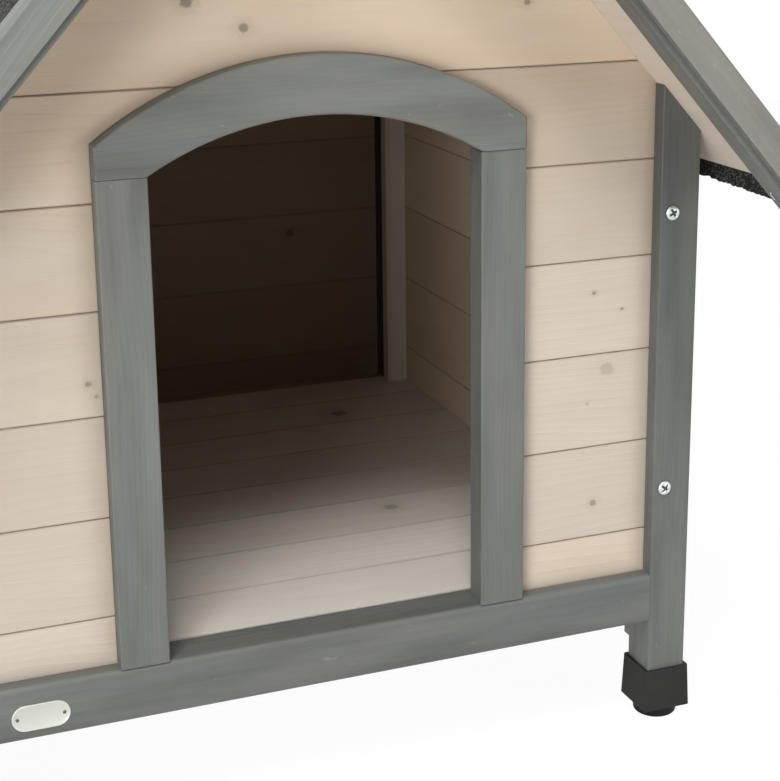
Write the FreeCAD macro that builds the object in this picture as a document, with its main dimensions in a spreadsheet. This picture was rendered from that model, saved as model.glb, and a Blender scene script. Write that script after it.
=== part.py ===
"""Dog house with a saddle roof, built from timber parts.

Millimetres.  X runs across the front (+X is the right-hand side as seen from
the front), Y runs from the front (-Y) to the back (+Y), and Z is up.  The
origin is the centre of the footprint, on the ground.

The house stands on four square posts with adjustable feet.  Rails join the
posts at floor height, tongued boards close the walls, and two roof halves lie
on the gables.  The right half swings up on three butt hinges at the ridge.
"""
import FreeCAD, Part
import math
import os
import Sketcher

V = FreeCAD.Vector

# name, value, what it measures
SIZES = [
    ("house_width", 696.0, "across the outer faces of the posts"),
    ("house_depth", 710.0, "front face to back face of the posts"),
    ("gable_peak", 948.0, "height where the undersides of the roof halves meet"),
    ("roof_pitch", 48.4, "slope of the roof in degrees"),
    ("front_overhang", 117.0, "roof in front of the posts"),
    ("back_overhang", 45.0, "roof behind the posts"),
    ("post_side", 38.0, "square corner post"),
    ("post_ease", 1.5, "rounded long edges of posts and door trim"),
    ("rail_underside", 100.0, "ground to the underside of the bottom rails"),
    ("rail_height", 47.0, "bottom rails"),
    ("rail_depth", 39.4, "front and back rail, front to back"),
    ("side_rail_depth", 24.4, "side rails, outside to inside"),
    ("rail_ease", 4.5, "rounded long edges of the rails"),
    ("wall_recess", 14.4, "wall boards behind the faces of the posts"),
    ("board_thick", 10.0, "wall and floor boards"),
    ("batten_thick", 15.0, "battens inside the walls"),
    ("batten_wide", 25.0, "battens inside the walls"),
    ("board_gap", 0.5, "open joint between two boards"),
    ("board_bevel", 1.0, "bevelled face edges of a board"),
    ("tongue_thick", 3.0, "tongue of a wall or floor board"),
    ("tongue_long", 4.0, "tongue of a board"),
    ("tongue_play", 0.4, "groove wider and deeper than the tongue"),
    ("front_cover", 86.0, "face width of a front board"),
    ("front_first", 42.0, "lowest front board above the rail"),
    ("wall_cover", 90.0, "face width of a side or back board"),
    ("back_first", 38.5, "lowest back board above the rail"),
    ("side_first", 44.7, "lowest side board above the rail"),
    ("fit_gap", 0.3, "easy fit between wooden parts"),
    ("door_width", 280.0, "clear width of the doorway"),
    ("door_spring", 406.0, "height of the jambs, on the rail"),
    ("jamb_width", 41.0, "door jamb, seen from the front"),
    ("arch_inner_rise", 39.0, "rise of the arch over the doorway"),
    ("arch_end", 26.0, "upright ends of the arch head"),
    ("arch_outer_rise", 61.0, "rise of the arch head over its ends"),
    ("arch_proud", 1.0, "arch head in front of the jambs"),
    ("arch_joint", 0.6, "open joint between the arch head and the jambs"),
    ("arch_ease", 2.0, "rounded front edges of the arch head"),
    ("door_batten_wide", 45.0, "upright battens behind the jambs"),
    ("door_batten_setback", 20.0, "these battens back from the doorway"),
    ("door_batten_short", 32.0, "these battens, short of the sloping ones"),
    ("gable_batten_wide", 30.0, "sloping battens inside the gables"),
    ("gable_batten_end", 12.5, "their lower ends short of the posts"),
    ("ridge_gap", 1.0, "each roof half short of the middle"),
    ("seal_setback", 1.0, "corner strip behind the face of its batten"),
    ("seal_depth", 25.0, "dark strip in the back corners, front to back"),
    ("floor_cover", 80.5, "face width of a floor board"),
    ("floor_first", 78.0, "floor board next to the front rail"),
    ("bearer_high", 35.0, "bearers under the floor"),
    ("cleat_high", 39.5, "cleats under the side rails"),
    ("cleat_wide", 24.0, "cleats under the side rails"),
    ("cleat_inset", 34.0, "inner face of a cleat, in from the post face"),
    ("cleat_bevel", 6.0, "bevelled lower inner edge of a cleat"),
    ("roof_slope", 571.0, "underside of the roof boards, ridge to eave"),
    ("roof_board_thick", 7.0, "roof boards"),
    ("roof_tongue", 2.4, "tongue of a roof board"),
    ("edge_batten_thick", 18.0, "battens under the roof boards"),
    ("edge_batten_wide", 24.6, "battens under the roof boards"),
    ("roof_trim_past", 12.0, "edge battens and mouldings past the eave"),
    ("inner_batten_start", 46.0, "inner roof battens, from the ridge"),
    ("inner_batten_end", 430.0, "inner roof battens, to here"),
    ("inner_batten_play", 1.0, "inner roof battens, clear of the gables"),
    ("felt_thick", 1.6, "mineral roofing felt"),
    ("felt_drop", 25.0, "felt turned down over the eave"),
    ("barge_thick", 6.5, "angle moulding on the roof's ends"),
    ("barge_face", 27.4, "its leg on the front or back"),
    ("barge_top", 24.0, "its leg on top of the felt"),
    ("barge_round", 3.5, "rounded outer corner of the moulding"),
    ("ridge_strip_wide", 62.0, "felt strip each side of the ridge"),
    ("hinge_long", 70.0, "butt hinge along the ridge"),
    ("hinge_leaf", 30.0, "width of a hinge leaf from the pin"),
    ("hinge_thick", 2.0, "sheet of the hinge leaves"),
    ("knuckle_radius", 5.0, "rolled knuckles of the hinges"),
    ("pin_radius", 2.5, "hinge pin"),
    ("pin_play", 0.06, "running clearance round the pin"),
    ("knuckle_gap", 0.4, "between neighbouring knuckles"),
    ("hinge_pitch", 300.0, "from one hinge to the next"),
    ("leaf_hole_radius", 2.2, "screw holes in the leaves"),
    ("leaf_hole_pitch", 44.0, "between the screw holes of a leaf"),
    ("cap_top_side", 44.5, "foot cap at its rim"),
    ("cap_flare", 2.1, "degrees that the cap widens downwards"),
    ("cap_height", 40.0, "foot cap"),
    ("cap_floor", 4.0, "floor of the foot cap"),
    ("cap_fit", 0.2, "cap round the post"),
    ("cap_round", 2.5, "rounded corners of the cap"),
    ("glide_radius", 20.0, "round foot"),
    ("glide_high", 10.7, "round foot"),
    ("glide_round", 2.5, "rounded lower edge of the foot"),
    ("glide_gap", 0.3, "foot screwed home, under the cap"),
    ("stem_radius", 4.0, "threaded stem of the foot"),
    ("stem_play", 0.06, "stem in the cap"),
    ("stem_long", 40.0, "stem above the foot"),
    ("stem_bore_play", 1.0, "bore in the post round the stem"),
    ("screw_head_radius", 6.4, "pan head"),
    ("screw_head_high", 3.4, "pan head"),
    ("screw_radius", 2.9, "shank"),
    ("screw_long", 35.0, "shank in the post"),
    ("screw_hole_play", 0.1, "hole round the shank"),
    ("screw_inset", 11.3, "from the inner face of the post"),
    ("screw_low", 84.0, "lower screw above the rail top"),
    ("screw_high", 339.0, "upper screw above the rail top"),
    ("roof_rows", 2, "wide boards in each roof half"),
    ("hinge_count", 3, "hinges at the ridge"),
]

doc = FreeCAD.newDocument("DogHouse")
sheet = doc.addObject("Spreadsheet::Sheet", "Sizes")
nodes = []


class Dim:
    """A size that knows its number and its formula in the sheet's words."""

    def __init__(self, number, formula):
        self.number = float(number)
        self.formula = formula

    def __add__(self, other):
        other = as_dim(other)
        return Dim(self.number + other.number, f"({self.formula} + {other.formula})")

    def __sub__(self, other):
        other = as_dim(other)
        return Dim(self.number - other.number, f"({self.formula} - {other.formula})")

    def __mul__(self, other):
        other = as_dim(other)
        return Dim(self.number * other.number, f"({self.formula} * {other.formula})")

    def __truediv__(self, other):
        other = as_dim(other)
        return Dim(self.number / other.number, f"({self.formula} / {other.formula})")

    def __neg__(self):
        return Dim(-self.number, f"(0 - {self.formula})")

    __radd__ = __add__
    __rmul__ = __mul__

    def __rsub__(self, other):
        return as_dim(other) - self


def as_dim(value):
    return value if isinstance(value, Dim) else Dim(value, repr(float(value)))


def tangent(angle):
    return Dim(math.tan(math.radians(angle.number)), f"tan({angle.formula})")


def cosine(angle):
    return Dim(math.cos(math.radians(angle.number)), f"cos({angle.formula})")


def sine(angle):
    return Dim(math.sin(math.radians(angle.number)), f"sin({angle.formula})")


def rows_over(length, cover):
    """How many boards it takes to cover a length."""
    share = as_dim(length) / cover
    return Dim(math.ceil(share.number), f"ceil({share.formula})")


class Sizes:
    """The sheet's cells, each under its own name."""

    def __init__(self):
        for row, (name, value, note) in enumerate(SIZES, 1):
            sheet.set(f"A{row}", name)
            sheet.set(f"B{row}", str(value))
            sheet.set(f"C{row}", note)
            sheet.setAlias(f"B{row}", name)
            setattr(self, name, Dim(value, f"Sizes.{name}"))


S = Sizes()
doc.recompute()

# Where the main lines of the house lie, worked out from the sizes.
SLOPE = tangent(S.roof_pitch)
COS = cosine(S.roof_pitch)
SIN = sine(S.roof_pitch)
ROOF_LENGTH = S.front_overhang + S.house_depth + S.back_overhang
POST_FRONT = S.front_overhang - ROOF_LENGTH / 2
POST_BACK = POST_FRONT + S.house_depth
RAIL_TOP = S.rail_underside + S.rail_height
HALF_WIDTH = S.house_width / 2
POST_INNER = HALF_WIDTH - S.post_side
WALL_OUTER = HALF_WIDTH - S.wall_recess
WALL_INNER = WALL_OUTER - S.board_thick
BATTEN_INNER = WALL_INNER - S.batten_wide
SIDE_TOP = S.gable_peak - WALL_OUTER * SLOPE - S.fit_gap
POST_BOTTOM = S.glide_high + S.glide_gap + S.cap_floor
ARCH_FOOT = RAIL_TOP + S.door_spring
ARCH_HALF = S.door_width / 2 + S.jamb_width
ARCH_CROWN = ARCH_FOOT + S.arch_end + S.arch_outer_rise
SIDE_ROWS = rows_over(S.door_spring + S.arch_end - S.front_first, S.front_cover) + 1
FELT_BASE = S.roof_board_thick
FELT_TOP = FELT_BASE + S.felt_thick
STRIP_TOP = FELT_TOP + S.felt_thick
HINGE_HEIGHT = S.gable_peak + (STRIP_TOP + S.knuckle_radius) / COS



# ---------------------------------------------------------------- tools

def bind(thing, property_name, value):
    """Tie a property to the sheet."""
    thing.setExpression(property_name, as_dim(value).formula)


def new_body(name, base=(0, 0, 0), turn=None):
    """A sub-part whose place, and turn about Y, follow the sheet."""
    body = doc.addObject("PartDesign::Body", name)
    body.Label = name
    body.AllowCompound = True
    if turn is not None:
        body.Placement = FreeCAD.Placement(V(), FreeCAD.Rotation(V(0, 1, 0), turn.number))
        bind(body, "Placement.Rotation.Angle", turn)
    for axis, value in zip("xyz", base):
        bind(body, f"Placement.Base.{axis}", value)
    nodes.append(body)
    return body


def plane(body, role):
    return next(p for p in body.Origin.OriginFeatures if p.Role == role)


def new_sketch(body, role, level=None):
    """A sketch on one of the body's own planes, or level above it."""
    sketch = body.newObject("Sketcher::SketchObject", "outline")
    sketch.AttachmentSupport = [(plane(body, role), "")]
    sketch.MapMode = "FlatFace"
    if level is not None:
        bind(sketch, "AttachmentOffset.Base.z", level)
    return sketch


def pin_point(sketch, edge, end, point):
    """Hold a corner of the outline at its two sizes."""
    for kind, value in zip(("DistanceX", "DistanceY"), point):
        value = as_dim(value)
        rule = sketch.addConstraint(Sketcher.Constraint(kind, -1, 1, edge, end, value.number))
        sketch.setExpression(f"Constraints[{rule}]", value.formula)


def add_outline(sketch, points):
    """A closed outline of straight edges."""
    corners = [(as_dim(u), as_dim(v)) for u, v in points]
    first = sketch.GeometryCount
    count = len(corners)
    for index, corner in enumerate(corners):
        after = corners[(index + 1) % count]
        start = V(corner[0].number, corner[1].number, 0)
        stop = V(after[0].number, after[1].number, 0)
        sketch.addGeometry(Part.LineSegment(start, stop), False)
    for index, corner in enumerate(corners):
        after = (index + 1) % count
        sketch.addConstraint(
            Sketcher.Constraint("Coincident", first + index, 2, first + after, 1))
        pin_point(sketch, first + index, 1, corner)


def add_circle(sketch, centre, radius):
    u, v = as_dim(centre[0]), as_dim(centre[1])
    circle = Part.Circle(V(u.number, v.number, 0), V(0, 0, 1), radius.number)
    edge = sketch.addGeometry(circle, False)
    pin_point(sketch, edge, 3, (u, v))
    rule = sketch.addConstraint(Sketcher.Constraint("Radius", edge, radius.number))
    sketch.setExpression(f"Constraints[{rule}]", radius.formula)


def chord_radius(half_chord, rise):
    """Radius of the arc over a chord."""
    return (half_chord * half_chord + rise * rise) / (rise * 2)


def add_arch(sketch, half, bottom, shoulder, rise):
    """Three straight edges and a bow on top."""
    half, bottom, shoulder = as_dim(half), as_dim(bottom), as_dim(shoulder)
    radius = chord_radius(half, rise)
    corners = [(-half, shoulder), (-half, bottom), (half, bottom), (half, shoulder)]
    first = sketch.GeometryCount
    for start, stop in zip(corners, corners[1:]):
        line = Part.LineSegment(V(start[0].number, start[1].number, 0),
                                V(stop[0].number, stop[1].number, 0))
        sketch.addGeometry(line, False)
    centre = V(0, (shoulder + rise - radius).number, 0)
    swing = math.asin(half.number / radius.number)
    circle = Part.Circle(centre, V(0, 0, 1), radius.number)
    bow = sketch.addGeometry(
        Part.ArcOfCircle(circle, math.pi / 2 - swing, math.pi / 2 + swing), False)
    for edge in (first, first + 1):
        sketch.addConstraint(Sketcher.Constraint("Coincident", edge, 2, edge + 1, 1))
        pin_point(sketch, edge, 1, corners[edge - first])
    pin_point(sketch, first + 2, 1, corners[2])
    pin_point(sketch, first + 2, 2, corners[3])
    sketch.addConstraint(Sketcher.Constraint("Coincident", bow, 1, first + 2, 2))
    sketch.addConstraint(Sketcher.Constraint("Coincident", bow, 2, first, 1))
    rule = sketch.addConstraint(Sketcher.Constraint("Radius", bow, radius.number))
    sketch.setExpression(f"Constraints[{rule}]", radius.formula)


def box_points(u0, v0, u1, v1):
    return [(u0, v0), (u1, v0), (u1, v1), (u0, v1)]


def pad(body, sketch, length, centred=True):
    """Extrude a sketch, by half to each side unless told otherwise."""
    feature = body.newObject("PartDesign::Pad", "pad")
    feature.Profile = sketch
    feature.Midplane = centred
    bind(feature, "Length", length)
    body.Tip = feature
    return feature


def pocket(body, sketch):
    """Cut a sketch right through, to both sides."""
    feature = body.newObject("PartDesign::Pocket", "cut")
    feature.Profile = sketch
    feature.Midplane = True
    feature.Type = "ThroughAll"
    body.Tip = feature
    return feature


def blind_pocket(body, sketch, depth, reverse):
    """Cut a sketch to a depth, to one side of its plane."""
    feature = body.newObject("PartDesign::Pocket", "recess")
    feature.Profile = sketch
    feature.Reversed = reverse
    bind(feature, "Length", depth)
    body.Tip = feature
    return feature


def repeat(body, features, role, count, spacing, reverse=False):
    """Copies of features, side by side along the normal of a plane."""
    pattern = body.newObject("PartDesign::LinearPattern", "row")
    pattern.Originals = features
    pattern.Direction = (plane(body, role), [""])
    pattern.Reversed = reverse
    pattern.Mode = "Spacing"
    bind(pattern, "Occurrences", count)
    bind(pattern, "Offset", spacing)
    body.Tip = pattern
    return pattern


def round_edges(body, radius, wanted):
    """Round the edges of the body's last feature that wanted() picks."""
    doc.recompute()
    base = body.Tip
    names = [f"Edge{i}" for i, edge in enumerate(base.Shape.Edges, 1) if wanted(edge)]
    feature = body.newObject("PartDesign::Fillet", "rounding")
    feature.Base = (base, names)
    bind(feature, "Radius", radius)
    body.Tip = feature
    return feature


def runs_along(direction):
    """Picks straight edges that lie in one direction."""
    def wanted(edge):
        if not isinstance(edge.Curve, Part.Line):
            return False
        return abs(abs(edge.Curve.Direction.dot(direction)) - 1) < 1e-6
    return wanted


def keep_inside(body, role, points, reach=2000.0):
    """Cut away all that lies outside an outline."""
    sketch = new_sketch(body, role)
    add_outline(sketch, box_points(-reach, -reach, reach, reach))
    add_outline(sketch, points)
    return pocket(body, sketch)


# ---------------------------------------------------------------- frame

def corner_post(name, side, end):
    """Square post, cut to the roof slope, with a bore for the foot's stem."""
    centre = HALF_WIDTH - S.post_side / 2
    middle = (POST_FRONT if end < 0 else POST_BACK) - S.post_side / 2 * end
    body = new_body(name, (centre * side, middle, POST_BOTTOM))
    half = S.post_side / 2
    length = S.gable_peak - POST_INNER * SLOPE - POST_BOTTOM
    outline = new_sketch(body, "XY_Plane")
    add_outline(outline, box_points(-half, -half, half, half))
    pad(body, outline, length, centred=False)
    round_edges(body, S.post_ease, runs_along(V(0, 0, 1)))

    def roof_line(across):
        return S.gable_peak - S.fit_gap - (centre + across * side) * SLOPE - POST_BOTTOM

    left, right = -S.post_side, S.post_side
    slope = new_sketch(body, "XZ_Plane")
    add_outline(slope, [(left, roof_line(left)), (right, roof_line(right)),
                        (right, length + S.post_side * 2), (left, length + S.post_side * 2)])
    pocket(body, slope)

    bore = new_sketch(body, "XY_Plane")
    add_circle(bore, (0, 0), S.stem_radius + S.stem_bore_play)
    blind_pocket(body, bore, S.stem_long, reverse=True)

    holes = new_sketch(body, "XZ_Plane", level=-half * end)
    across = (S.screw_inset - half) * side
    for height in (S.screw_low, S.screw_high):
        add_circle(holes, (across, RAIL_TOP + height - POST_BOTTOM),
                   S.screw_radius + S.screw_hole_play)
    blind_pocket(body, holes, S.screw_long + S.fit_gap, reverse=end > 0)


def cross_rail(name, end):
    """Front or back rail between two posts, its long edges rounded."""
    face = POST_FRONT if end < 0 else POST_BACK
    middle = face - S.rail_depth / 2 * end
    body = new_body(name, (0, middle, RAIL_TOP - S.rail_height / 2))
    half_deep, half_high = S.rail_depth / 2, S.rail_height / 2
    outline = new_sketch(body, "YZ_Plane")
    add_outline(outline, box_points(-half_deep, -half_high, half_deep, half_high))
    pad(body, outline, POST_INNER * 2)
    round_edges(body, S.rail_ease, runs_along(V(1, 0, 0)))


def side_rail(name, side):
    """Side rail between the front and back post."""
    middle = (HALF_WIDTH - S.side_rail_depth / 2) * side
    body = new_body(name, (middle, (POST_FRONT + POST_BACK) / 2, RAIL_TOP - S.rail_height / 2))
    half_deep, half_high = S.side_rail_depth / 2, S.rail_height / 2
    outline = new_sketch(body, "XZ_Plane")
    add_outline(outline, box_points(-half_deep, -half_high, half_deep, half_high))
    pad(body, outline, S.house_depth - S.post_side * 2)
    round_edges(body, S.rail_ease, runs_along(V(0, 1, 0)))


def leg_cleats():
    """Short blocks behind the posts that carry the ends of the side rails."""
    body = new_body("leg_cleats", (0, 0, S.rail_underside - S.cleat_high))
    inner = HALF_WIDTH - S.cleat_inset
    base = new_sketch(body, "XY_Plane")
    for side in (-1, 1):
        for face, inward in ((POST_FRONT + S.post_side, 1), (POST_BACK - S.post_side, -1)):
            add_outline(base, box_points(inner * side, face, (inner + S.cleat_wide) * side,
                                         face + S.batten_thick * inward))
    pad(body, base, S.cleat_high, centred=False)
    bevel = new_sketch(body, "XZ_Plane")
    add_outline(bevel, [(-inner, -S.cleat_bevel), (inner, -S.cleat_bevel),
                        (inner, S.cleat_bevel), (inner + S.cleat_bevel * 2, -S.cleat_bevel),
                        (inner + S.cleat_bevel * 2, -S.cleat_bevel * 2),
                        (-inner - S.cleat_bevel * 2, -S.cleat_bevel * 2),
                        (-inner - S.cleat_bevel * 2, -S.cleat_bevel),
                        (-inner, S.cleat_bevel)])
    pocket(body, bevel)


# ---------------------------------------------------------------- walls

def board_profile(cover, thick, tongue, face=1):
    """Tongued board: first value through its thickness, second across its face."""
    width = cover - S.board_gap
    middle = thick / 2
    half = tongue / 2
    slot = half + S.tongue_play / 2
    deep = S.tongue_long + S.tongue_play
    bevel = S.board_bevel
    points = [
        (0, bevel), (0, width - bevel), (bevel, width), (middle - half, width),
        (middle - half, width + S.tongue_long), (middle + half, width + S.tongue_long),
        (middle + half, width), (thick, width), (thick, 0), (middle + slot, 0),
        (middle + slot, deep), (middle - slot, deep), (middle - slot, 0), (bevel, 0),
    ]
    return [(as_dim(through) * face, across) for through, across in points]


def gable_outline(half_width, bottom):
    """Wall between the posts and under the roof, as seen from the front."""
    top = S.gable_peak - S.fit_gap
    return [(-half_width, bottom), (half_width, bottom), (half_width, top - half_width * SLOPE),
            (0, top), (-half_width, top - half_width * SLOPE)]


def gable_boards(name, end, cover, first, rows=None):
    """Rows of boards across a gable, up to the roof unless told otherwise."""
    rows = rows or rows_over(S.gable_peak - RAIL_TOP - first, cover) + 1
    face = POST_FRONT + S.wall_recess if end < 0 else POST_BACK - S.wall_recess
    body = new_body(name, (0, face, 0))
    profile = new_sketch(body, "YZ_Plane")
    start = RAIL_TOP + first - cover
    add_outline(profile, [(through, start + across) for through, across
                          in board_profile(cover, S.board_thick, S.tongue_thick, -end)])
    board = pad(body, profile, POST_INNER * 2)
    repeat(body, [board], "XY_Plane", rows, cover)
    return body


def doorway_cut(body):
    """Make room for the jambs and the arch head."""
    sketch = new_sketch(body, "XZ_Plane")
    add_arch(sketch, ARCH_HALF + S.fit_gap, 0, ARCH_FOOT + S.arch_end + S.fit_gap,
             S.arch_outer_rise)
    pocket(body, sketch)


def front_side_boards(name, side):
    """Front boards from a post to the doorway, as far up as the arch's shoulders."""
    body = gable_boards(name, -1, S.front_cover, S.front_first, SIDE_ROWS)
    keep_inside(body, "XZ_Plane",
                box_points(0, RAIL_TOP, POST_INNER * side, S.gable_peak))
    keep_inside(body, "XZ_Plane", gable_outline(POST_INNER, RAIL_TOP))
    doorway_cut(body)


def front_gable_boards():
    """Front boards above the arch's shoulders."""
    first = S.front_first + S.front_cover * SIDE_ROWS
    body = gable_boards("front_gable_boards", -1, S.front_cover, first)
    keep_inside(body, "XZ_Plane", gable_outline(POST_INNER, RAIL_TOP))
    doorway_cut(body)


def back_boards():
    """The whole back wall."""
    body = gable_boards("back_boards", 1, S.wall_cover, S.back_first)
    keep_inside(body, "XZ_Plane", gable_outline(POST_INNER, RAIL_TOP))


def side_boards(name, side):
    """Side wall boards between the posts."""
    body = new_body(name, (WALL_OUTER * side, (POST_FRONT + POST_BACK) / 2, 0))
    profile = new_sketch(body, "XZ_Plane")
    start = RAIL_TOP + S.side_first - S.wall_cover
    add_outline(profile, [(through, start + across) for through, across
                          in board_profile(S.wall_cover, S.board_thick, S.tongue_thick, -side)])
    board = pad(body, profile, S.house_depth - S.post_side * 2)
    rows = rows_over(SIDE_TOP - RAIL_TOP - S.side_first, S.wall_cover) + 1
    repeat(body, [board], "XY_Plane", rows, S.wall_cover)
    keep_inside(body, "XZ_Plane",
                box_points(-S.board_thick, RAIL_TOP, S.board_thick, SIDE_TOP))


def side_batten(name, side, end):
    """Upright batten at one end of a side wall, standing on the floor."""
    body = new_body(name, (0, 0, RAIL_TOP))
    if end < 0:
        near = POST_FRONT + S.post_side
    else:
        near = POST_BACK - S.wall_recess - S.board_thick - S.seal_depth
    base = new_sketch(body, "XY_Plane")
    add_outline(base, box_points(BATTEN_INNER * side, near, WALL_INNER * side,
                                 near - S.batten_thick * end))
    pad(body, base, SIDE_TOP - RAIL_TOP, centred=False)


def corner_seals():
    """Dark strips that close the back corners behind the battens."""
    body = new_body("corner_seals", (0, 0, RAIL_TOP))
    back = POST_BACK - S.wall_recess - S.board_thick
    base = new_sketch(body, "XY_Plane")
    for side in (-1, 1):
        add_outline(base, box_points((BATTEN_INNER + S.seal_setback) * side,
                                     back - S.seal_depth, POST_INNER * side, back))
    pad(body, base, SIDE_TOP - RAIL_TOP, centred=False)


def eave_rail(name, side):
    """Rail inside the top of a side wall, between its battens."""
    front = POST_FRONT + S.post_side + S.batten_thick
    back = POST_BACK - S.wall_recess - S.board_thick - S.seal_depth - S.batten_thick
    body = new_body(name, (0, (front + back) / 2, SIDE_TOP - S.batten_wide))
    base = new_sketch(body, "XZ_Plane")
    add_outline(base, box_points(BATTEN_INNER * side, 0, WALL_INNER * side, S.batten_wide))
    pad(body, base, back - front)


def gable_batten(name, side, end):
    """Sloping batten inside a gable, just under the roof."""
    wall = S.wall_recess + S.board_thick + S.batten_thick / 2
    middle = POST_FRONT + wall if end < 0 else POST_BACK - wall
    body = new_body(name, (0, middle, S.gable_peak - S.fit_gap))
    top, low = S.ridge_gap, POST_INNER - S.gable_batten_end
    drop = S.gable_batten_wide / COS
    outline = new_sketch(body, "XZ_Plane")
    add_outline(outline, [(top * side, -top * SLOPE), (low * side, -low * SLOPE),
                          (low * side, -low * SLOPE - drop), (top * side, -top * SLOPE - drop)])
    pad(body, outline, S.batten_thick)


# ---------------------------------------------------------------- doorway

def door_jamb(name, side):
    """Upright trim at one side of the doorway, from the rail to the arch head."""
    deep = S.wall_recess + S.board_thick
    centre = (S.door_width + S.jamb_width) / 2 * side
    body = new_body(name, (centre, POST_FRONT + deep / 2, RAIL_TOP))
    half_wide, half_deep = S.jamb_width / 2, deep / 2
    base = new_sketch(body, "XY_Plane")
    add_outline(base, box_points(-half_wide, -half_deep, half_wide, half_deep))
    pad(body, base, S.door_spring - S.arch_joint, centred=False)
    round_edges(body, S.post_ease, runs_along(V(0, 0, 1)))


def arch_head():
    """Curved head over the doorway, sawn from one board."""
    deep = S.wall_recess + S.board_thick + S.arch_proud
    middle = POST_FRONT - S.arch_proud + deep / 2
    body = new_body("arch_head", (0, middle, ARCH_FOOT))
    front_face = -(deep / 2).number + 1e-3
    block = new_sketch(body, "XZ_Plane")
    add_arch(block, ARCH_HALF, 0, S.arch_end, S.arch_outer_rise)
    pad(body, block, deep)
    inner = new_sketch(body, "XZ_Plane")
    radius = chord_radius(S.door_width / 2, S.arch_inner_rise)
    add_circle(inner, (0, S.arch_inner_rise - radius), radius)
    pocket(body, inner)

    def front_bow(edge):
        return edge.BoundBox.YMax < front_face and not isinstance(edge.Curve, Part.Line)

    def front_end(edge):
        box = edge.BoundBox
        return box.YMax < front_face and box.XLength < 1e-3 and box.ZLength > 1

    round_edges(body, S.arch_ease, front_bow)
    round_edges(body, S.arch_ease, front_end)


def door_batten(name, side):
    """Upright batten behind a jamb that ties jamb and boards together."""
    inner = S.door_width / 2 + S.door_batten_setback
    outer = inner + S.door_batten_wide
    wall = POST_FRONT + S.wall_recess + S.board_thick
    top = S.gable_peak - outer * SLOPE - S.gable_batten_wide / COS - S.door_batten_short
    body = new_body(name, (0, 0, RAIL_TOP))
    base = new_sketch(body, "XY_Plane")
    add_outline(base, box_points(inner * side, wall, outer * side, wall + S.batten_thick))
    pad(body, base, top - RAIL_TOP, centred=False)


# ---------------------------------------------------------------- floor

def floor_boards():
    """Floor boards across the house, level with the rails."""
    front = POST_FRONT + S.rail_depth + S.fit_gap
    back = POST_BACK - S.rail_depth - S.fit_gap
    half = WALL_INNER - S.fit_gap
    body = new_body("floor_boards", (0, 0, RAIL_TOP))
    profile = new_sketch(body, "YZ_Plane")
    start = front + S.floor_first - S.floor_cover
    add_outline(profile, [(start + across, through) for through, across
                          in board_profile(S.floor_cover, S.board_thick, S.tongue_thick, -1)])
    board = pad(body, profile, half * 2)
    rows = rows_over(back - front - S.floor_first, S.floor_cover) + 1
    repeat(body, [board], "XZ_Plane", rows, S.floor_cover, reverse=True)
    keep_inside(body, "XY_Plane", box_points(-half, front, half, back))


def floor_bearers():
    """Three bearers between the side rails that carry the floor."""
    body = new_body("floor_bearers", (0, 0, RAIL_TOP - S.board_thick - S.bearer_high))
    front = POST_FRONT + S.rail_depth
    back = POST_BACK - S.rail_depth
    middle = (front + back) / 2
    half = S.batten_wide / 2
    base = new_sketch(body, "XY_Plane")
    for near, far in ((front, front + S.batten_wide), (middle - half, middle + half),
                      (back - S.batten_wide, back)):
        add_outline(base, box_points(-WALL_INNER, near, WALL_INNER, far))
    pad(body, base, S.bearer_high, centred=False)


# ---------------------------------------------------------------- roof
# A roof body lies in its own slope: X down the slope, Z out of the roof, and
# its origin on the line where the two undersides meet.

def roof_body(name, side):
    return new_body(name, (0, 0, S.gable_peak), turn=S.roof_pitch * side)


def ridge_end(level):
    """How far down the slope a roof part starts, at a height above the boards."""
    return S.ridge_gap / COS - level * SLOPE


def slab_points(side, low, high, end):
    """Section of a roof layer from the ridge to a place down the slope."""
    return [(ridge_end(low) * side, low), (end * side, low),
            (end * side, high), (ridge_end(high) * side, high)]


def roof_boards(name, side):
    """Wide roof boards along the house, tongued, the upper one cut to the ridge."""
    body = roof_body(name, side)
    cover = (S.roof_slope + S.roof_board_thick * SLOPE) / S.roof_rows
    profile = new_sketch(body, "XZ_Plane")
    add_outline(profile, [((S.roof_slope - across - S.board_gap) * side, through)
                          for through, across
                          in board_profile(cover, S.roof_board_thick, S.roof_tongue)])
    board = pad(body, profile, ROOF_LENGTH - S.barge_thick * 2)
    repeat(body, [board], "YZ_Plane", S.roof_rows, cover, reverse=side > 0)
    keep_inside(body, "XZ_Plane", slab_points(side, 0, S.roof_board_thick, S.roof_slope))


def roof_edge_battens(name, side):
    """Battens under the front and back edge of a roof half."""
    body = roof_body(name, side)
    outline = new_sketch(body, "XZ_Plane")
    add_outline(outline, slab_points(side, -S.edge_batten_thick, 0,
                                     S.roof_slope + S.roof_trim_past))
    length = ROOF_LENGTH - S.barge_thick * 2
    pad(body, outline, length)
    middle = new_sketch(body, "YZ_Plane")
    half = length / 2 - S.edge_batten_wide
    add_outline(middle, box_points(-half, -S.edge_batten_thick * 2, half, S.felt_thick))
    pocket(body, middle)


def roof_inner_battens(name, side):
    """Battens under a roof half that drop inside the gables and centre it."""
    body = roof_body(name, side)
    wall = S.wall_recess + S.board_thick + S.batten_thick + S.inner_batten_play
    base = new_sketch(body, "XY_Plane")
    for face, inward in ((POST_FRONT + wall, 1), (POST_BACK - wall, -1)):
        add_outline(base, box_points(S.inner_batten_start * side, face,
                                     S.inner_batten_end * side,
                                     face + S.edge_batten_wide * inward))
    battens = pad(body, base, S.edge_batten_thick, centred=False)
    battens.Reversed = True


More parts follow.
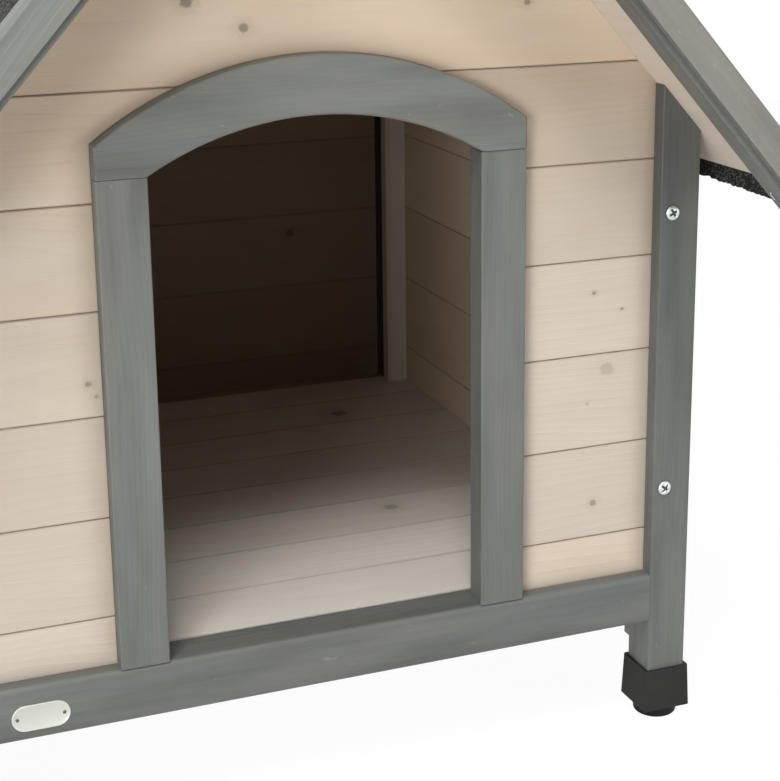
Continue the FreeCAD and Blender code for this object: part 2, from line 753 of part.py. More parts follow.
def roof_felt(name, side):
    """Roofing felt over the boards, turned down over the eave."""
    body = new_body(name, (0, 0, S.gable_peak))
    edge = S.roof_slope * COS + FELT_BASE * SIN + S.fit_gap
    outer = edge + S.felt_thick

    def under(across):
        return FELT_BASE / COS - across * SLOPE

    def over(across):
        return FELT_TOP / COS - across * SLOPE

    bottom = over(outer) - S.felt_drop
    points = [(S.ridge_gap, under(S.ridge_gap)), (edge, under(edge)),
              (outer, under(outer)), (outer, over(outer)), (S.ridge_gap, over(S.ridge_gap))]
    outline = new_sketch(body, "XZ_Plane")
    add_outline(outline, [(across * side, height) for across, height in points])
    pad(body, outline, ROOF_LENGTH - S.barge_thick * 2 - S.fit_gap * 2)
    drop = new_sketch(body, "XZ_Plane")
    add_outline(drop, box_points(edge * side, bottom, outer * side, over(outer)))
    pad(body, drop, ROOF_LENGTH - (S.barge_thick + S.edge_batten_wide + S.fit_gap) * 2)


def ridge_strip(name, side):
    """Second layer of felt beside the ridge."""
    body = roof_body(name, side)
    outline = new_sketch(body, "XZ_Plane")
    add_outline(outline, slab_points(side, FELT_TOP, STRIP_TOP, S.ridge_strip_wide))
    pad(body, outline, ROOF_LENGTH - S.barge_top * 2 - S.fit_gap * 2)


def barge_moulding(name, side, end):
    """Angle moulding: one leg on the roof's end, one on top of the felt."""
    body = roof_body(name, side)
    high = FELT_TOP + S.barge_thick
    outline = new_sketch(body, "XZ_Plane")
    add_outline(outline, slab_points(side, high - S.barge_face, high,
                                     S.roof_slope + S.roof_trim_past))
    pad(body, outline, ROOF_LENGTH)
    section = new_sketch(body, "YZ_Plane")
    face = ROOF_LENGTH / 2
    add_outline(section, [((face - S.barge_thick) * end, -S.barge_face),
                          ((face - S.barge_thick) * end, FELT_TOP),
                          ((face - S.barge_top) * end, FELT_TOP),
                          ((face - S.barge_top) * end, S.barge_face),
                          (-face * end * 2, S.barge_face), (-face * end * 2, -S.barge_face)])
    pocket(body, section)
    corner = (face * end).number

    def outer_corner(edge):
        box = edge.BoundBox
        return (min(abs(box.YMin - corner), abs(box.YMax - corner)) < 1e-3
                and box.YLength < 1e-3 and box.ZLength < 1e-3
                and abs(box.ZMin - high.number) < 1e-3)

    round_edges(body, S.barge_round, outer_corner)


# ---------------------------------------------------------------- hinges

def hinge_body(name, side):
    """A hinge part lies in its roof slope, with its origin on the pin."""
    return new_body(name, (0, 0, HINGE_HEIGHT), turn=S.roof_pitch * side)


def hinge_row(body, features):
    """The same hinge part at each hinge along the ridge."""
    repeat(body, features, "XZ_Plane", S.hinge_count, S.hinge_pitch)


def hinge_leaves(name, side):
    """Leaves of one roof half: the left has two knuckles, the right the middle one."""
    body = hinge_body(name, side)
    row = S.hinge_pitch * (S.hinge_count - 1) / 2
    radius, length = S.knuckle_radius, S.hinge_long
    plate = new_sketch(body, "XZ_Plane", level=-row)
    add_outline(plate, box_points(0, -radius, S.hinge_leaf * side, S.hinge_thick - radius))
    leaf = pad(body, plate, length)
    eye = new_sketch(body, "XZ_Plane", level=-row)
    add_circle(eye, (0, 0), radius)
    knuckles = pad(body, eye, length)
    clear = radius / COS + S.knuckle_gap
    third = length / 6
    notch = new_sketch(body, "XY_Plane")
    if side > 0:
        gaps = ((third - S.knuckle_gap / 2, length / 2 + clear),
                (-length / 2 - clear, S.knuckle_gap / 2 - third))
    else:
        gaps = ((-third - S.knuckle_gap / 2, third + S.knuckle_gap / 2),)
    for near, far in gaps:
        add_outline(notch, box_points(-clear, near + row, clear, far + row))
    notches = pocket(body, notch)
    bore = new_sketch(body, "XZ_Plane")
    add_circle(bore, (0, 0), S.pin_radius + S.pin_play)
    holes = new_sketch(body, "XY_Plane")
    for offset in (-S.leaf_hole_pitch / 2, S.leaf_hole_pitch / 2):
        add_circle(holes, ((S.hinge_leaf + radius) / 2 * side, offset + row),
                   S.leaf_hole_radius)
    screw_holes = pocket(body, holes)
    hinge_row(body, [leaf, knuckles, notches, screw_holes])
    pocket(body, bore)


def hinge_pins():
    """The pins, each as long as its hinge."""
    body = hinge_body("hinge_pins", 1)
    row = S.hinge_pitch * (S.hinge_count - 1) / 2
    outline = new_sketch(body, "XZ_Plane", level=-row)
    add_circle(outline, (0, 0), S.pin_radius)
    hinge_row(body, [pad(body, outline, S.hinge_long)])


# ---------------------------------------------------------------- feet

def post_centre(side, end):
    middle = (POST_FRONT if end < 0 else POST_BACK) - S.post_side / 2 * end
    return (HALF_WIDTH - S.post_side / 2) * side, middle


def foot_cap(name, side, end):
    """Moulded cap on a post, wider at its foot, with a hole for the stem."""
    across, along = post_centre(side, end)
    body = new_body(name, (across, along, S.glide_high + S.glide_gap + S.cap_height))
    half = S.cap_top_side / 2
    rim = new_sketch(body, "XY_Plane")
    add_outline(rim, box_points(-half, -half, half, half))
    shell = pad(body, rim, S.cap_height, centred=False)
    shell.Reversed = True
    bind(shell, "TaperAngle", S.cap_flare)
    round_edges(body, S.cap_round, lambda edge: edge.BoundBox.ZLength > S.cap_floor.number)
    inner = S.post_side / 2 + S.cap_fit
    socket = new_sketch(body, "XY_Plane")
    add_outline(socket, box_points(-inner, -inner, inner, inner))
    blind_pocket(body, socket, S.cap_height - S.cap_floor, reverse=False)
    stem = new_sketch(body, "XY_Plane")
    add_circle(stem, (0, 0), S.stem_radius + S.stem_play)
    pocket(body, stem)


def glide(name, side, end):
    """Adjustable round foot on a threaded stem."""
    across, along = post_centre(side, end)
    body = new_body(name, (across, along, 0))
    disc = new_sketch(body, "XY_Plane")
    add_circle(disc, (0, 0), S.glide_radius)
    pad(body, disc, S.glide_high, centred=False)
    round_edges(body, S.glide_round, lambda edge: edge.BoundBox.ZMax < S.glide_round.number)
    stem = new_sketch(body, "XY_Plane")
    add_circle(stem, (0, 0), S.stem_radius)
    pad(body, stem, S.glide_high + S.stem_long, centred=False)


# ---------------------------------------------------------------- screws

def post_screws(name, end):
    """Pan-head screws through the posts of one gable, two in each post."""
    across = POST_INNER + S.screw_inset
    face = POST_FRONT if end < 0 else POST_BACK
    body = new_body(name, (-across, face, RAIL_TOP + S.screw_low))
    head = S.screw_head_radius
    dome = [(0, 1), (head * 0.6, 1), (head * 0.92, 0.7), (head, 0.35), (head, 0)]
    section = [(radius, S.screw_head_high * share * end) for radius, share in dome]
    section += [(S.screw_radius, 0), (S.screw_radius, -S.screw_long * end),
                (0, -S.screw_long * end)]
    pair = []
    for height in (Dim(0, "0"), S.screw_high - S.screw_low):
        outline = new_sketch(body, "XY_Plane", level=height)
        add_outline(outline, section)
        turned = body.newObject("PartDesign::Revolution", "turned")
        turned.Profile = outline
        turned.ReferenceAxis = (outline, ["V_Axis"])
        turned.Angle = 360
        body.Tip = turned
        pair.append(turned)
    repeat(body, pair, "YZ_Plane", 2, across * 2)


# ---------------------------------------------------------------- the house

ENDS = (("front", -1), ("back", 1))
SIDES = (("left", -1), ("right", 1))

for end_name, end in ENDS:
    cross_rail(f"{end_name}_rail", end)
    post_screws(f"{end_name}_screws", end)
    for side_name, side in SIDES:
        corner = f"{end_name}_{side_name}"
        corner_post(f"{corner}_post", side, end)
        side_batten(f"{corner}_batten", side, end)
        gable_batten(f"{corner}_gable_batten", side, end)
        barge_moulding(f"{corner}_barge", side, end)
        foot_cap(f"{corner}_foot_cap", side, end)
        glide(f"{corner}_glide", side, end)

for side_name, side in SIDES:
    side_rail(f"{side_name}_rail", side)
    side_boards(f"{side_name}_boards", side)
    eave_rail(f"{side_name}_eave_rail", side)
    front_side_boards(f"front_{side_name}_boards", side)
    door_jamb(f"{side_name}_jamb", side)
    door_batten(f"{side_name}_door_batten", side)
    roof_boards(f"{side_name}_roof_boards", side)
    roof_edge_battens(f"{side_name}_roof_edge_battens", side)
    roof_inner_battens(f"{side_name}_roof_inner_battens", side)
    roof_felt(f"{side_name}_felt", side)
    ridge_strip(f"{side_name}_ridge_strip", side)
    hinge_leaves(f"{side_name}_hinge_leaves", side)

leg_cleats()
corner_seals()
arch_head()
front_gable_boards()
back_boards()
floor_boards()
floor_bearers()
hinge_pins()

doc.recompute()

faults = [f"{thing.Name} ({thing.Label}): {thing.State}" for thing in doc.Objects
          if "Invalid" in thing.State or "Error" in thing.State]
faults += [body.Label for body in nodes if body.Shape.isNull() or not body.Shape.isValid()]
if faults:
    raise RuntimeError("not built: " + "; ".join(faults))

os.makedirs("parts", exist_ok=True)
for body in nodes:
    body.Shape.exportStep(f"parts/{body.Label}.step")
    print(body.Label, len(body.Shape.Solids), round(body.Shape.Volume / 1000, 1))
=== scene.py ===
import math
import random

import bmesh
import bpy
from mathutils import Matrix, Vector, noise


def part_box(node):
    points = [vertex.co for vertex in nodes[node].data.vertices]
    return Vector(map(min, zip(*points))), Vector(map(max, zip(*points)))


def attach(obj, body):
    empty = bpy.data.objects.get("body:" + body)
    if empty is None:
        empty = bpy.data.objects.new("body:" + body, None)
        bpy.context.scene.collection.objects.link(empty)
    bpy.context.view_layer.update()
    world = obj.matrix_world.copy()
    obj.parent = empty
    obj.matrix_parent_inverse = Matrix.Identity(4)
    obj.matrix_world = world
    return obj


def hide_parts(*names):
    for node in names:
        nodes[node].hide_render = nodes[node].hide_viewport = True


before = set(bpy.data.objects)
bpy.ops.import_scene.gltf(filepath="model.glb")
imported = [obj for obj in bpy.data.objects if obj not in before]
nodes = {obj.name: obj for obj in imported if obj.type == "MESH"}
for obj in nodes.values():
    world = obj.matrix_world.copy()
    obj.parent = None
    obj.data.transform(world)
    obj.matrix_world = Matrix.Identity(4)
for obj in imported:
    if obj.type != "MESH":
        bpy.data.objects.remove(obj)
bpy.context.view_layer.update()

scene = bpy.context.scene

# ------------------------------------------------------------ camera
# The photographer stood to the left of the doorway and looked slightly down
# at the front, with a long lens.
camera_data = bpy.data.cameras.new("camera")
camera_data.sensor_width = 36
camera_data.lens = 76.67
camera_data.shift_y = -0.1415
camera_data.clip_end = 50
camera = bpy.data.objects.new("camera", camera_data)
camera.location = (-0.4132, -1.5589, 0.7836)
camera.rotation_euler = [math.radians(angle) for angle in (75.9600, 0.6603, -20.9550)]
scene.collection.objects.link(camera)
scene.camera = camera
scene.view_settings.view_transform = "Standard"

# ------------------------------------------------------------ studio
# The usual light for a cut-out catalogue picture: a steep soft box above the
# front, a low one on the left, a weak low one on the right, and a pale ceiling
# that is brighter on the left.  Floor and backdrop are white paper.


def add_lamp(name, size, power, place, aim):
    """A square soft box."""
    data = bpy.data.lights.new(name, "AREA")
    data.shape = "SQUARE"
    data.size = size
    data.energy = power
    lamp = bpy.data.objects.new(name, data)
    lamp.location = place
    lamp.rotation_euler = (Vector(aim) - Vector(place)).to_track_quat("-Z", "Y").to_euler()
    scene.collection.objects.link(lamp)


house_middle = (0, 0, 0.45)
add_lamp("key", 1.3, 91, (-0.9, -1.9, 3.6), house_middle)
add_lamp("left", 1.0, 50, (-2.25, -2.85, 0.7), house_middle)
add_lamp("right", 1.0, 15, (2.45, -2.7, 0.7), house_middle)


def add_node(tree, kind, sockets=None, **settings):
    """A node with its settings, and with values or links in its sockets."""
    node = tree.nodes.new(kind)
    for name, value in settings.items():
        setattr(node, name, value)
    for name, value in (sockets or {}).items():
        if isinstance(value, bpy.types.NodeSocket):
            tree.links.new(value, node.inputs[name])
        else:
            node.inputs[name].default_value = value
    return node


def sum_up(tree, operation, *values):
    """The output of one Math node."""
    node = tree.nodes.new("ShaderNodeMath")
    node.operation = operation
    for socket, value in zip(node.inputs, values):
        if isinstance(value, bpy.types.NodeSocket):
            tree.links.new(value, socket)
        else:
            socket.default_value = value
    return node.outputs[0]


def seen_directly(tree):
    """1 for the rays that show the backdrop itself."""
    path = add_node(tree, "ShaderNodeLightPath")
    both = sum_up(tree, "MAXIMUM", path.outputs["Is Camera Ray"], path.outputs["Is Glossy Ray"])
    return sum_up(tree, "MAXIMUM", both, path.outputs["Is Transmission Ray"])


world = bpy.data.worlds.new("studio")
scene.world = world
world.use_nodes = True
tree = world.node_tree
tree.nodes.clear()
direction = add_node(tree, "ShaderNodeTexCoord").outputs["Generated"]
parts = add_node(tree, "ShaderNodeSeparateXYZ", {0: direction}).outputs
sky = add_node(tree, "ShaderNodeMapRange", {"Value": parts["Z"], "From Min": 0.35,
                                            "From Max": 0.95, "To Min": 0.03, "To Max": 0.75})
side = add_node(tree, "ShaderNodeMapRange", {"Value": parts["X"], "From Min": -0.8,
                                             "From Max": 0.8, "To Min": 1.7, "To Max": 0.3})
sky = sum_up(tree, "MULTIPLY", sky.outputs[0], side.outputs[0])
soft = add_node(tree, "ShaderNodeBackground", {"Strength": sky})
plain = add_node(tree, "ShaderNodeBackground", {"Strength": 1.0})
for backdrop in (soft, plain):
    backdrop.inputs["Color"].default_value = (1, 1, 1, 1)
chosen = add_node(tree, "ShaderNodeMixShader", {0: seen_directly(tree), 1: soft.outputs[0],
                                                2: plain.outputs[0]})
add_node(tree, "ShaderNodeOutputWorld", {"Surface": chosen.outputs[0]})

floor_mesh = bpy.data.meshes.new("studio_floor")
reach = 3.2
floor_mesh.from_pydata([(-reach, -reach, 0), (reach, -reach, 0), (reach, reach, 0),
                        (-reach, reach, 0)], [], [(0, 1, 2, 3)])
floor = bpy.data.objects.new("studio_floor", floor_mesh)
floor.location.z = -0.0005
scene.collection.objects.link(floor)

paper = bpy.data.materials.new("studio_paper")
paper.use_nodes = True
tree = paper.node_tree
tree.nodes.clear()
card = add_node(tree, "ShaderNodeBsdfDiffuse", {"Color": (0.78, 0.78, 0.78, 1)})
glow = add_node(tree, "ShaderNodeEmission", {"Color": (1, 1, 1, 1), "Strength": 1.03})
share = sum_up(tree, "MULTIPLY", seen_directly(tree), 0.93)
mixed = add_node(tree, "ShaderNodeMixShader", {0: share, 1: card.outputs[0], 2: glow.outputs[0]})
add_node(tree, "ShaderNodeOutputMaterial", {"Surface": mixed.outputs[0]})
floor_mesh.materials.append(paper)

# ------------------------------------------------------------ front boards
# Tongued pine boards, planed, with a thin whitish glaze that lets the knots
# and the grey and pink streaks of the wood show.  They are nailed to battens
# behind the jambs and in the corners.


def new_group(name, inputs, outputs):
    """An empty shader node group with its sockets."""
    group = bpy.data.node_groups.new(name, "ShaderNodeTree")
    for label, kind, value in inputs:
        socket = group.interface.new_socket(label, in_out="INPUT", socket_type=kind)
        if value is not None:
            socket.default_value = value
    for label, kind in outputs:
        group.interface.new_socket(label, in_out="OUTPUT", socket_type=kind)
    return group, group.nodes.new("NodeGroupInput").outputs, group.nodes.new("NodeGroupOutput")


def place_group(tree, group, sockets):
    """The outputs of a group placed in a material."""
    node = tree.nodes.new("ShaderNodeGroup")
    node.node_tree = group
    for name, value in sockets.items():
        if isinstance(value, bpy.types.NodeSocket):
            tree.links.new(value, node.inputs[name])
        else:
            node.inputs[name].default_value = value
    return node.outputs


REAL, VECTOR = "NodeSocketFloat", "NodeSocketVector"


def board_layout_group():
    """Where a point lies on its own board, and two random numbers for each board."""
    group, given, result = new_group(
        "Board layout",
        [("Point", VECTOR, None), ("Cover", REAL, 0.09), ("Start", REAL, 0.0), ("Seed", REAL, 0.0)],
        [("Point", VECTOR), ("Board", REAL), ("Warmth", REAL), ("Edge", REAL)])
    parts = add_node(group, "ShaderNodeSeparateXYZ", {0: given["Point"]}).outputs
    row = sum_up(group, "DIVIDE", sum_up(group, "SUBTRACT", parts["Y"], given["Start"]),
                 given["Cover"])
    whole = sum_up(group, "FLOOR", row)
    rest = sum_up(group, "SUBTRACT", row, whole)
    near = sum_up(group, "MINIMUM", rest, sum_up(group, "SUBTRACT", 1.0, rest))
    label = sum_up(group, "ADD", whole, given["Seed"])
    luck = add_node(group, "ShaderNodeTexWhiteNoise", {"W": label}, noise_dimensions="1D")
    shift = add_node(group, "ShaderNodeVectorMath",
                     {0: luck.outputs["Color"], 1: (4.0, 0.35, 0.6)}, operation="MULTIPLY")
    local = add_node(group, "ShaderNodeCombineXYZ", {
        "X": parts["X"], "Y": sum_up(group, "MULTIPLY", rest, given["Cover"]), "Z": parts["Z"]})
    moved = add_node(group, "ShaderNodeVectorMath",
                     {0: local.outputs[0], 1: shift.outputs[0]}, operation="ADD")
    group.links.new(moved.outputs[0], result.inputs["Point"])
    group.links.new(luck.outputs["Value"], result.inputs["Board"])
    warmth = add_node(group, "ShaderNodeSeparateColor", {0: luck.outputs["Color"]})
    group.links.new(warmth.outputs["Green"], result.inputs["Warmth"])
    group.links.new(sum_up(group, "MULTIPLY", near, given["Cover"]), result.inputs["Edge"])
    return group


def timber_group():
    """Growth rings, fibres and soft stains of sawn wood whose grain runs along X."""
    group, given, result = new_group(
        "Timber figure",
        [("Point", VECTOR, None), ("Ring width", REAL, 0.006), ("Sway", REAL, 0.02)],
        [("Rings", REAL), ("Fibre", REAL), ("Streak", REAL), ("Cloud", REAL), ("Height", REAL)])

    def stretched(scale, detail, rough=0.5):
        squeezed = add_node(group, "ShaderNodeVectorMath", {0: given["Point"], 1: scale},
                            operation="MULTIPLY")
        return add_node(group, "ShaderNodeTexNoise",
                        {"Vector": squeezed.outputs[0], "Scale": 1.0, "Detail": detail,
                         "Roughness": rough}).outputs["Fac"]

    parts = add_node(group, "ShaderNodeSeparateXYZ", {0: given["Point"]}).outputs
    bend = sum_up(group, "MULTIPLY", sum_up(group, "SUBTRACT", stretched((2.2, 9, 9), 2.0), 0.5),
                  given["Sway"])
    across = sum_up(group, "ADD", parts["Y"], sum_up(group, "MULTIPLY", bend, 2.0))
    depth = sum_up(group, "ADD", parts["Z"], sum_up(group, "ADD", bend, 0.03))
    radius = sum_up(group, "SQRT", sum_up(group, "ADD", sum_up(group, "MULTIPLY", across, across),
                                          sum_up(group, "MULTIPLY", depth, depth)))
    turn = sum_up(group, "DIVIDE", radius, given["Ring width"])
    saw = sum_up(group, "FRACT", turn)
    rings = add_node(group, "ShaderNodeMapRange", {"Value": saw, "From Min": 0.25, "From Max": 1.0},
                     interpolation_type="SMOOTHERSTEP").outputs[0]
    shade_by_height = add_node(group, "ShaderNodeMapRange", {"Value": saw, "From Min": 1.0, "From Max": 0.9})
    rings = sum_up(group, "MULTIPLY", rings, shade_by_height.outputs[0])
    fibre = stretched((14, 620, 620), 3.0, 0.6)
    streak = stretched((6, 42, 42), 3.0, 0.5)
    cloud = stretched((4.0, 19, 19), 3.0, 0.55)
    height = sum_up(group, "ADD", sum_up(group, "MULTIPLY", rings, 0.5), fibre)
    for name, value in (("Rings", rings), ("Fibre", fibre), ("Streak", streak),
                        ("Cloud", cloud), ("Height", height)):
        group.links.new(value, result.inputs[name])
    return group


def knot_group():
    """One knot: a dark oval core with a grey ring, and a pale stain about it."""
    group, given, result = new_group(
        "Knot", [("Point", VECTOR, None), ("Centre", VECTOR, None), ("Radius", REAL, 0.005)],
        [("Core", REAL), ("Stain", REAL)])
    apart = add_node(group, "ShaderNodeVectorMath", {0: given["Point"], 1: given["Centre"]},
                     operation="SUBTRACT").outputs[0]
    ragged = add_node(group, "ShaderNodeTexNoise", {"Vector": given["Point"], "Scale": 260.0,
                                                    "Detail": 2.0}).outputs["Fac"]
    flat = add_node(group, "ShaderNodeVectorMath", {0: apart, 1: (0.85, 1.0, 0.05)},
                    operation="MULTIPLY").outputs[0]
    away = add_node(group, "ShaderNodeVectorMath", {0: flat}, operation="LENGTH").outputs["Value"]
    away = sum_up(group, "DIVIDE", away, given["Radius"])
    away = sum_up(group, "MULTIPLY", away, sum_up(group, "ADD", ragged, 0.55))
    core = add_node(group, "ShaderNodeMapRange", {"Value": away, "From Min": 1.1, "From Max": 0.6},
                    interpolation_type="SMOOTHSTEP").outputs[0]
    stain = add_node(group, "ShaderNodeMapRange", {"Value": away, "From Min": 3.4, "From Max": 0.6},
                     interpolation_type="SMOOTHERSTEP").outputs[0]
    group.links.new(core, result.inputs["Core"])
    group.links.new(stain, result.inputs["Stain"])
    return group


def scattered_knots_group():
    """Knots at random places, about one to each half metre of board."""
    group, given, result = new_group(
        "Scattered knots", [("Point", VECTOR, None), ("Share", REAL, 0.3)],
        [("Core", REAL), ("Stain", REAL)])
    squeezed = add_node(group, "ShaderNodeVectorMath", {0: given["Point"], 1: (5.0, 13.0, 1.0)},
                        operation="MULTIPLY").outputs[0]
    cells = add_node(group, "ShaderNodeTexVoronoi", {"Vector": squeezed, "Scale": 1.0},
                     voronoi_dimensions="2D")
    kept = sum_up(group, "LESS_THAN",
                  add_node(group, "ShaderNodeSeparateColor",
                           {0: cells.outputs["Color"]}).outputs["Red"], given["Share"])
    away = add_node(group, "ShaderNodeVectorMath",
                    {0: squeezed, 1: cells.outputs["Position"]}, operation="SUBTRACT").outputs[0]
    real = add_node(group, "ShaderNodeVectorMath", {0: away, 1: (0.16, 0.077, 0.0)},
                    operation="MULTIPLY").outputs[0]
    ragged = add_node(group, "ShaderNodeTexNoise", {"Vector": given["Point"], "Scale": 260.0,
                                                    "Detail": 2.0}).outputs["Fac"]
    size = add_node(group, "ShaderNodeVectorMath", {0: real}, operation="LENGTH").outputs["Value"]
    size = sum_up(group, "MULTIPLY", size, sum_up(group, "ADD", ragged, 0.55))
    for name, outer, inner in (("Core", 0.0052, 0.0026), ("Stain", 0.017, 0.003)):
        mask = add_node(group, "ShaderNodeMapRange",
                        {"Value": size, "From Min": outer, "From Max": inner},
                        interpolation_type="SMOOTHSTEP").outputs[0]
        group.links.new(sum_up(group, "MULTIPLY", mask, kept), result.inputs[name])
    return group


board_layout = board_layout_group()
timber = timber_group()
knot = knot_group()
scattered_knots = scattered_knots_group()


def new_material(name, roughness, specular=0.35):
    """A material with its node tree and its shader."""
    material = bpy.data.materials.new(name)
    material.use_nodes = True
    shader = material.node_tree.nodes["Principled BSDF"]
    shader.inputs["Roughness"].default_value = roughness
    shader.inputs["Specular IOR Level"].default_value = specular
    return material, material.node_tree, shader


def blend_colours(tree, share, first, second, kind="MIX"):
    """The colour of one Mix node."""
    node = tree.nodes.new("ShaderNodeMix")
    node.data_type = "RGBA"
    node.blend_type = kind
    for index, value in ((0, share), (6, first), (7, second)):
        if isinstance(value, bpy.types.NodeSocket):
            tree.links.new(value, node.inputs[index])
        else:
            node.inputs[index].default_value = value
    return node.outputs[2]


def grain_point(tree, along, across, through, tilt=0.0):
    """Object coordinates turned so that X runs along the grain."""
    point = add_node(tree, "ShaderNodeTexCoord").outputs["Object"]
    if tilt:
        point = add_node(tree, "ShaderNodeVectorRotate", {"Vector": point, "Angle": tilt},
                         rotation_type="Y_AXIS").outputs[0]
    parts = add_node(tree, "ShaderNodeSeparateXYZ", {0: point}).outputs
    return add_node(tree, "ShaderNodeCombineXYZ",
                    {"X": parts[along], "Y": parts[across], "Z": parts[through]}).outputs[0]


def house_point(tree):
    """X, Y and Z in the house."""
    point = add_node(tree, "ShaderNodeTexCoord").outputs["Object"]
    return add_node(tree, "ShaderNodeSeparateXYZ", {0: point}).outputs


def even_grey(tree, level):
    """A grey of the given level, to darken or lighten another colour."""
    return add_node(tree, "ShaderNodeCombineColor",
                    {"Red": level, "Green": level, "Blue": level}).outputs[0]


def set_bump(tree, shader, height, distance):
    """Relief of the surface, in metres."""
    bump = add_node(tree, "ShaderNodeBump", {"Height": height, "Distance": distance,
                                             "Strength": 1.0})
    tree.links.new(bump.outputs[0], shader.inputs["Normal"])


# The plain, the pinkish and the cool tone of each glaze.
WALL_GLAZE = ((0.70, 0.61, 0.50, 1), (0.655, 0.54, 0.43, 1), (0.68, 0.62, 0.55, 1))
FLOOR_GLAZE = ((0.72, 0.665, 0.595, 1), (0.68, 0.615, 0.54, 1), (0.71, 0.68, 0.63, 1))
GLAZE_GREY = (0.52, 0.445, 0.35, 1)
KNOT_BROWN = (0.21, 0.175, 0.13, 1)
KNOT_STAIN = (0.42, 0.38, 0.30, 1)
JOINT_BROWN = (0.42, 0.34, 0.265, 1)
FRAME_SHADOW = (0.40, 0.31, 0.235, 1)
ROOF_BOUNCE_TINT = (1.0, 0.955, 0.90, 1)

DARKEST_BOARD, PALEST_BOARD = 0.84, 1.06

rail_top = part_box("front_rail")[1].z
POST_EDGE, JAMB_EDGE = 0.310, 0.181
BOW_CENTRE, BOW_RADIUS = 0.341, 0.299


def frame_glaze_shade_and_roof_bounce(tree, colour):
    """Painted shade with darker glaze beside posts, rail and door frame, and a warmer tone under
    the roof that is painted bounce light from its underside.
    """
    parts = house_point(tree)
    side = sum_up(tree, "ABSOLUTE", parts["X"])
    rise = sum_up(tree, "SUBTRACT", parts["Z"], BOW_CENTRE)
    away = sum_up(tree, "SQRT", sum_up(tree, "ADD", sum_up(tree, "MULTIPLY", side, side),
                                       sum_up(tree, "MULTIPLY", rise, rise)))
    door = sum_up(tree, "MAXIMUM", sum_up(tree, "SUBTRACT", side, JAMB_EDGE),
                  sum_up(tree, "SUBTRACT", away, BOW_RADIUS))
    near = sum_up(tree, "MINIMUM", sum_up(tree, "SUBTRACT", POST_EDGE, side),
                  sum_up(tree, "SUBTRACT", parts["Z"], rail_top))
    near = sum_up(tree, "MINIMUM", near, door)
    # Darker beside posts, rail and door frame: painted shade, with some glaze gathered at the
    # edges.
    for reach, amount in ((0.030, 0.22), (0.011, 0.30), (0.0022, 0.55)):
        share = add_node(tree, "ShaderNodeMapRange", {"Value": near, "From Min": reach,
                                                      "From Max": 0.0, "To Max": amount},
                         interpolation_type="SMOOTHSTEP").outputs[0]
        colour = blend_colours(tree, share, colour, FRAME_SHADOW)
    # Warmer and a little darker under the roof: painted bounce light from the roof's underside.
    bounce_share = add_node(tree, "ShaderNodeMapRange", {"Value": parts["Z"], "From Min": 0.49,
                                                       "From Max": 0.58}).outputs[0]
    return blend_colours(tree, bounce_share, colour,
                         blend_colours(tree, 1.0, colour, ROOF_BOUNCE_TINT, "MULTIPLY"))


def glazed_boards(name, axes, cover, start, seed, knots=(), share=0.0, tilt=0.0, tone=1.0,
                  joint=0.0018, inner_face_shade=None, finish=None, glaze=WALL_GLAZE,
                  seam=JOINT_BROWN):
    """Material for a run of boards.

    axes are those along, across and through the boards, cover is what one board
    covers, start is a seam, and the seed says which boards are pale or pinkish.
    """
    material, tree, shader = new_material(name, 0.62)
    whole = grain_point(tree, *axes, tilt)
    boards = place_group(tree, board_layout, {"Point": whole, "Cover": cover, "Start": start,
                                              "Seed": seed})
    figure = place_group(tree, timber, {"Point": boards["Point"], "Ring width": 0.0065,
                                        "Sway": 0.03})
    warm = add_node(tree, "ShaderNodeMapRange",
                    {"Value": figure["Cloud"], "From Min": 0.36, "From Max": 0.66}).outputs[0]
    plain, pinkish, cool = glaze
    colour = blend_colours(tree, warm, plain, pinkish)
    cool_share = sum_up(tree, "MULTIPLY", boards["Warmth"], 0.7)
    colour = blend_colours(tree, cool_share, colour, cool)
    ring_share = sum_up(tree, "MULTIPLY", figure["Rings"], 0.07)
    colour = blend_colours(tree, ring_share, colour, GLAZE_GREY)
    fibre_share = add_node(tree, "ShaderNodeMapRange",
                           {"Value": figure["Fibre"], "From Min": 0.5, "From Max": 0.8,
                            "To Max": 0.12}).outputs[0]
    colour = blend_colours(tree, fibre_share, colour, GLAZE_GREY)
    level = add_node(tree, "ShaderNodeMapRange", {
        "Value": boards["Board"], "To Min": DARKEST_BOARD * tone,
        "To Max": PALEST_BOARD * tone}).outputs[0]
    colour = blend_colours(tree, 1.0, colour, even_grey(tree, level), "MULTIPLY")
    spots = [(place_group(tree, scattered_knots, {"Point": boards["Point"], "Share": share}), 0.7)]
    spots += [(place_group(tree, knot, {"Point": whole, "Centre": centre, "Radius": radius}), depth)
              for centre, radius, depth in knots]
    for spot, depth in spots:
        colour = blend_colours(tree, sum_up(tree, "MULTIPLY", spot["Stain"], 0.42 * depth), colour,
                               KNOT_STAIN)
        colour = blend_colours(tree, sum_up(tree, "MULTIPLY", spot["Core"], depth), colour,
                               KNOT_BROWN)
    soak = add_node(tree, "ShaderNodeMapRange", {"Value": boards["Edge"], "From Min": joint,
                                                 "From Max": 0.0004, "To Max": 0.7}).outputs[0]
    colour = blend_colours(tree, soak, colour, seam)
    # Inner faces take a bare-wood colour darkened as painted shade of the dim inside.
    if inner_face_shade:
        axis, reach, tint = inner_face_shade
        away = sum_up(tree, "ABSOLUTE", house_point(tree)[axis])
        inside = sum_up(tree, "LESS_THAN", away, reach)
        bare = blend_colours(tree, 1.0, colour, tint, "MULTIPLY")
        colour = blend_colours(tree, inside, colour, bare)
    if finish:
        colour = finish(tree, colour)
    tree.links.new(colour, shader.inputs["Base Color"])
    set_bump(tree, shader, figure["Height"], 0.00018)
    return material


def dress(material, *names):
    """Gives CAD nodes their finish."""
    for name in names:
        nodes[name].material_slots[0].material = material


FRONT_COVER, FRONT_FIRST = 0.086, 0.042
HALF_GAP = 0.0004
front_seam = rail_top + FRONT_FIRST - HALF_GAP
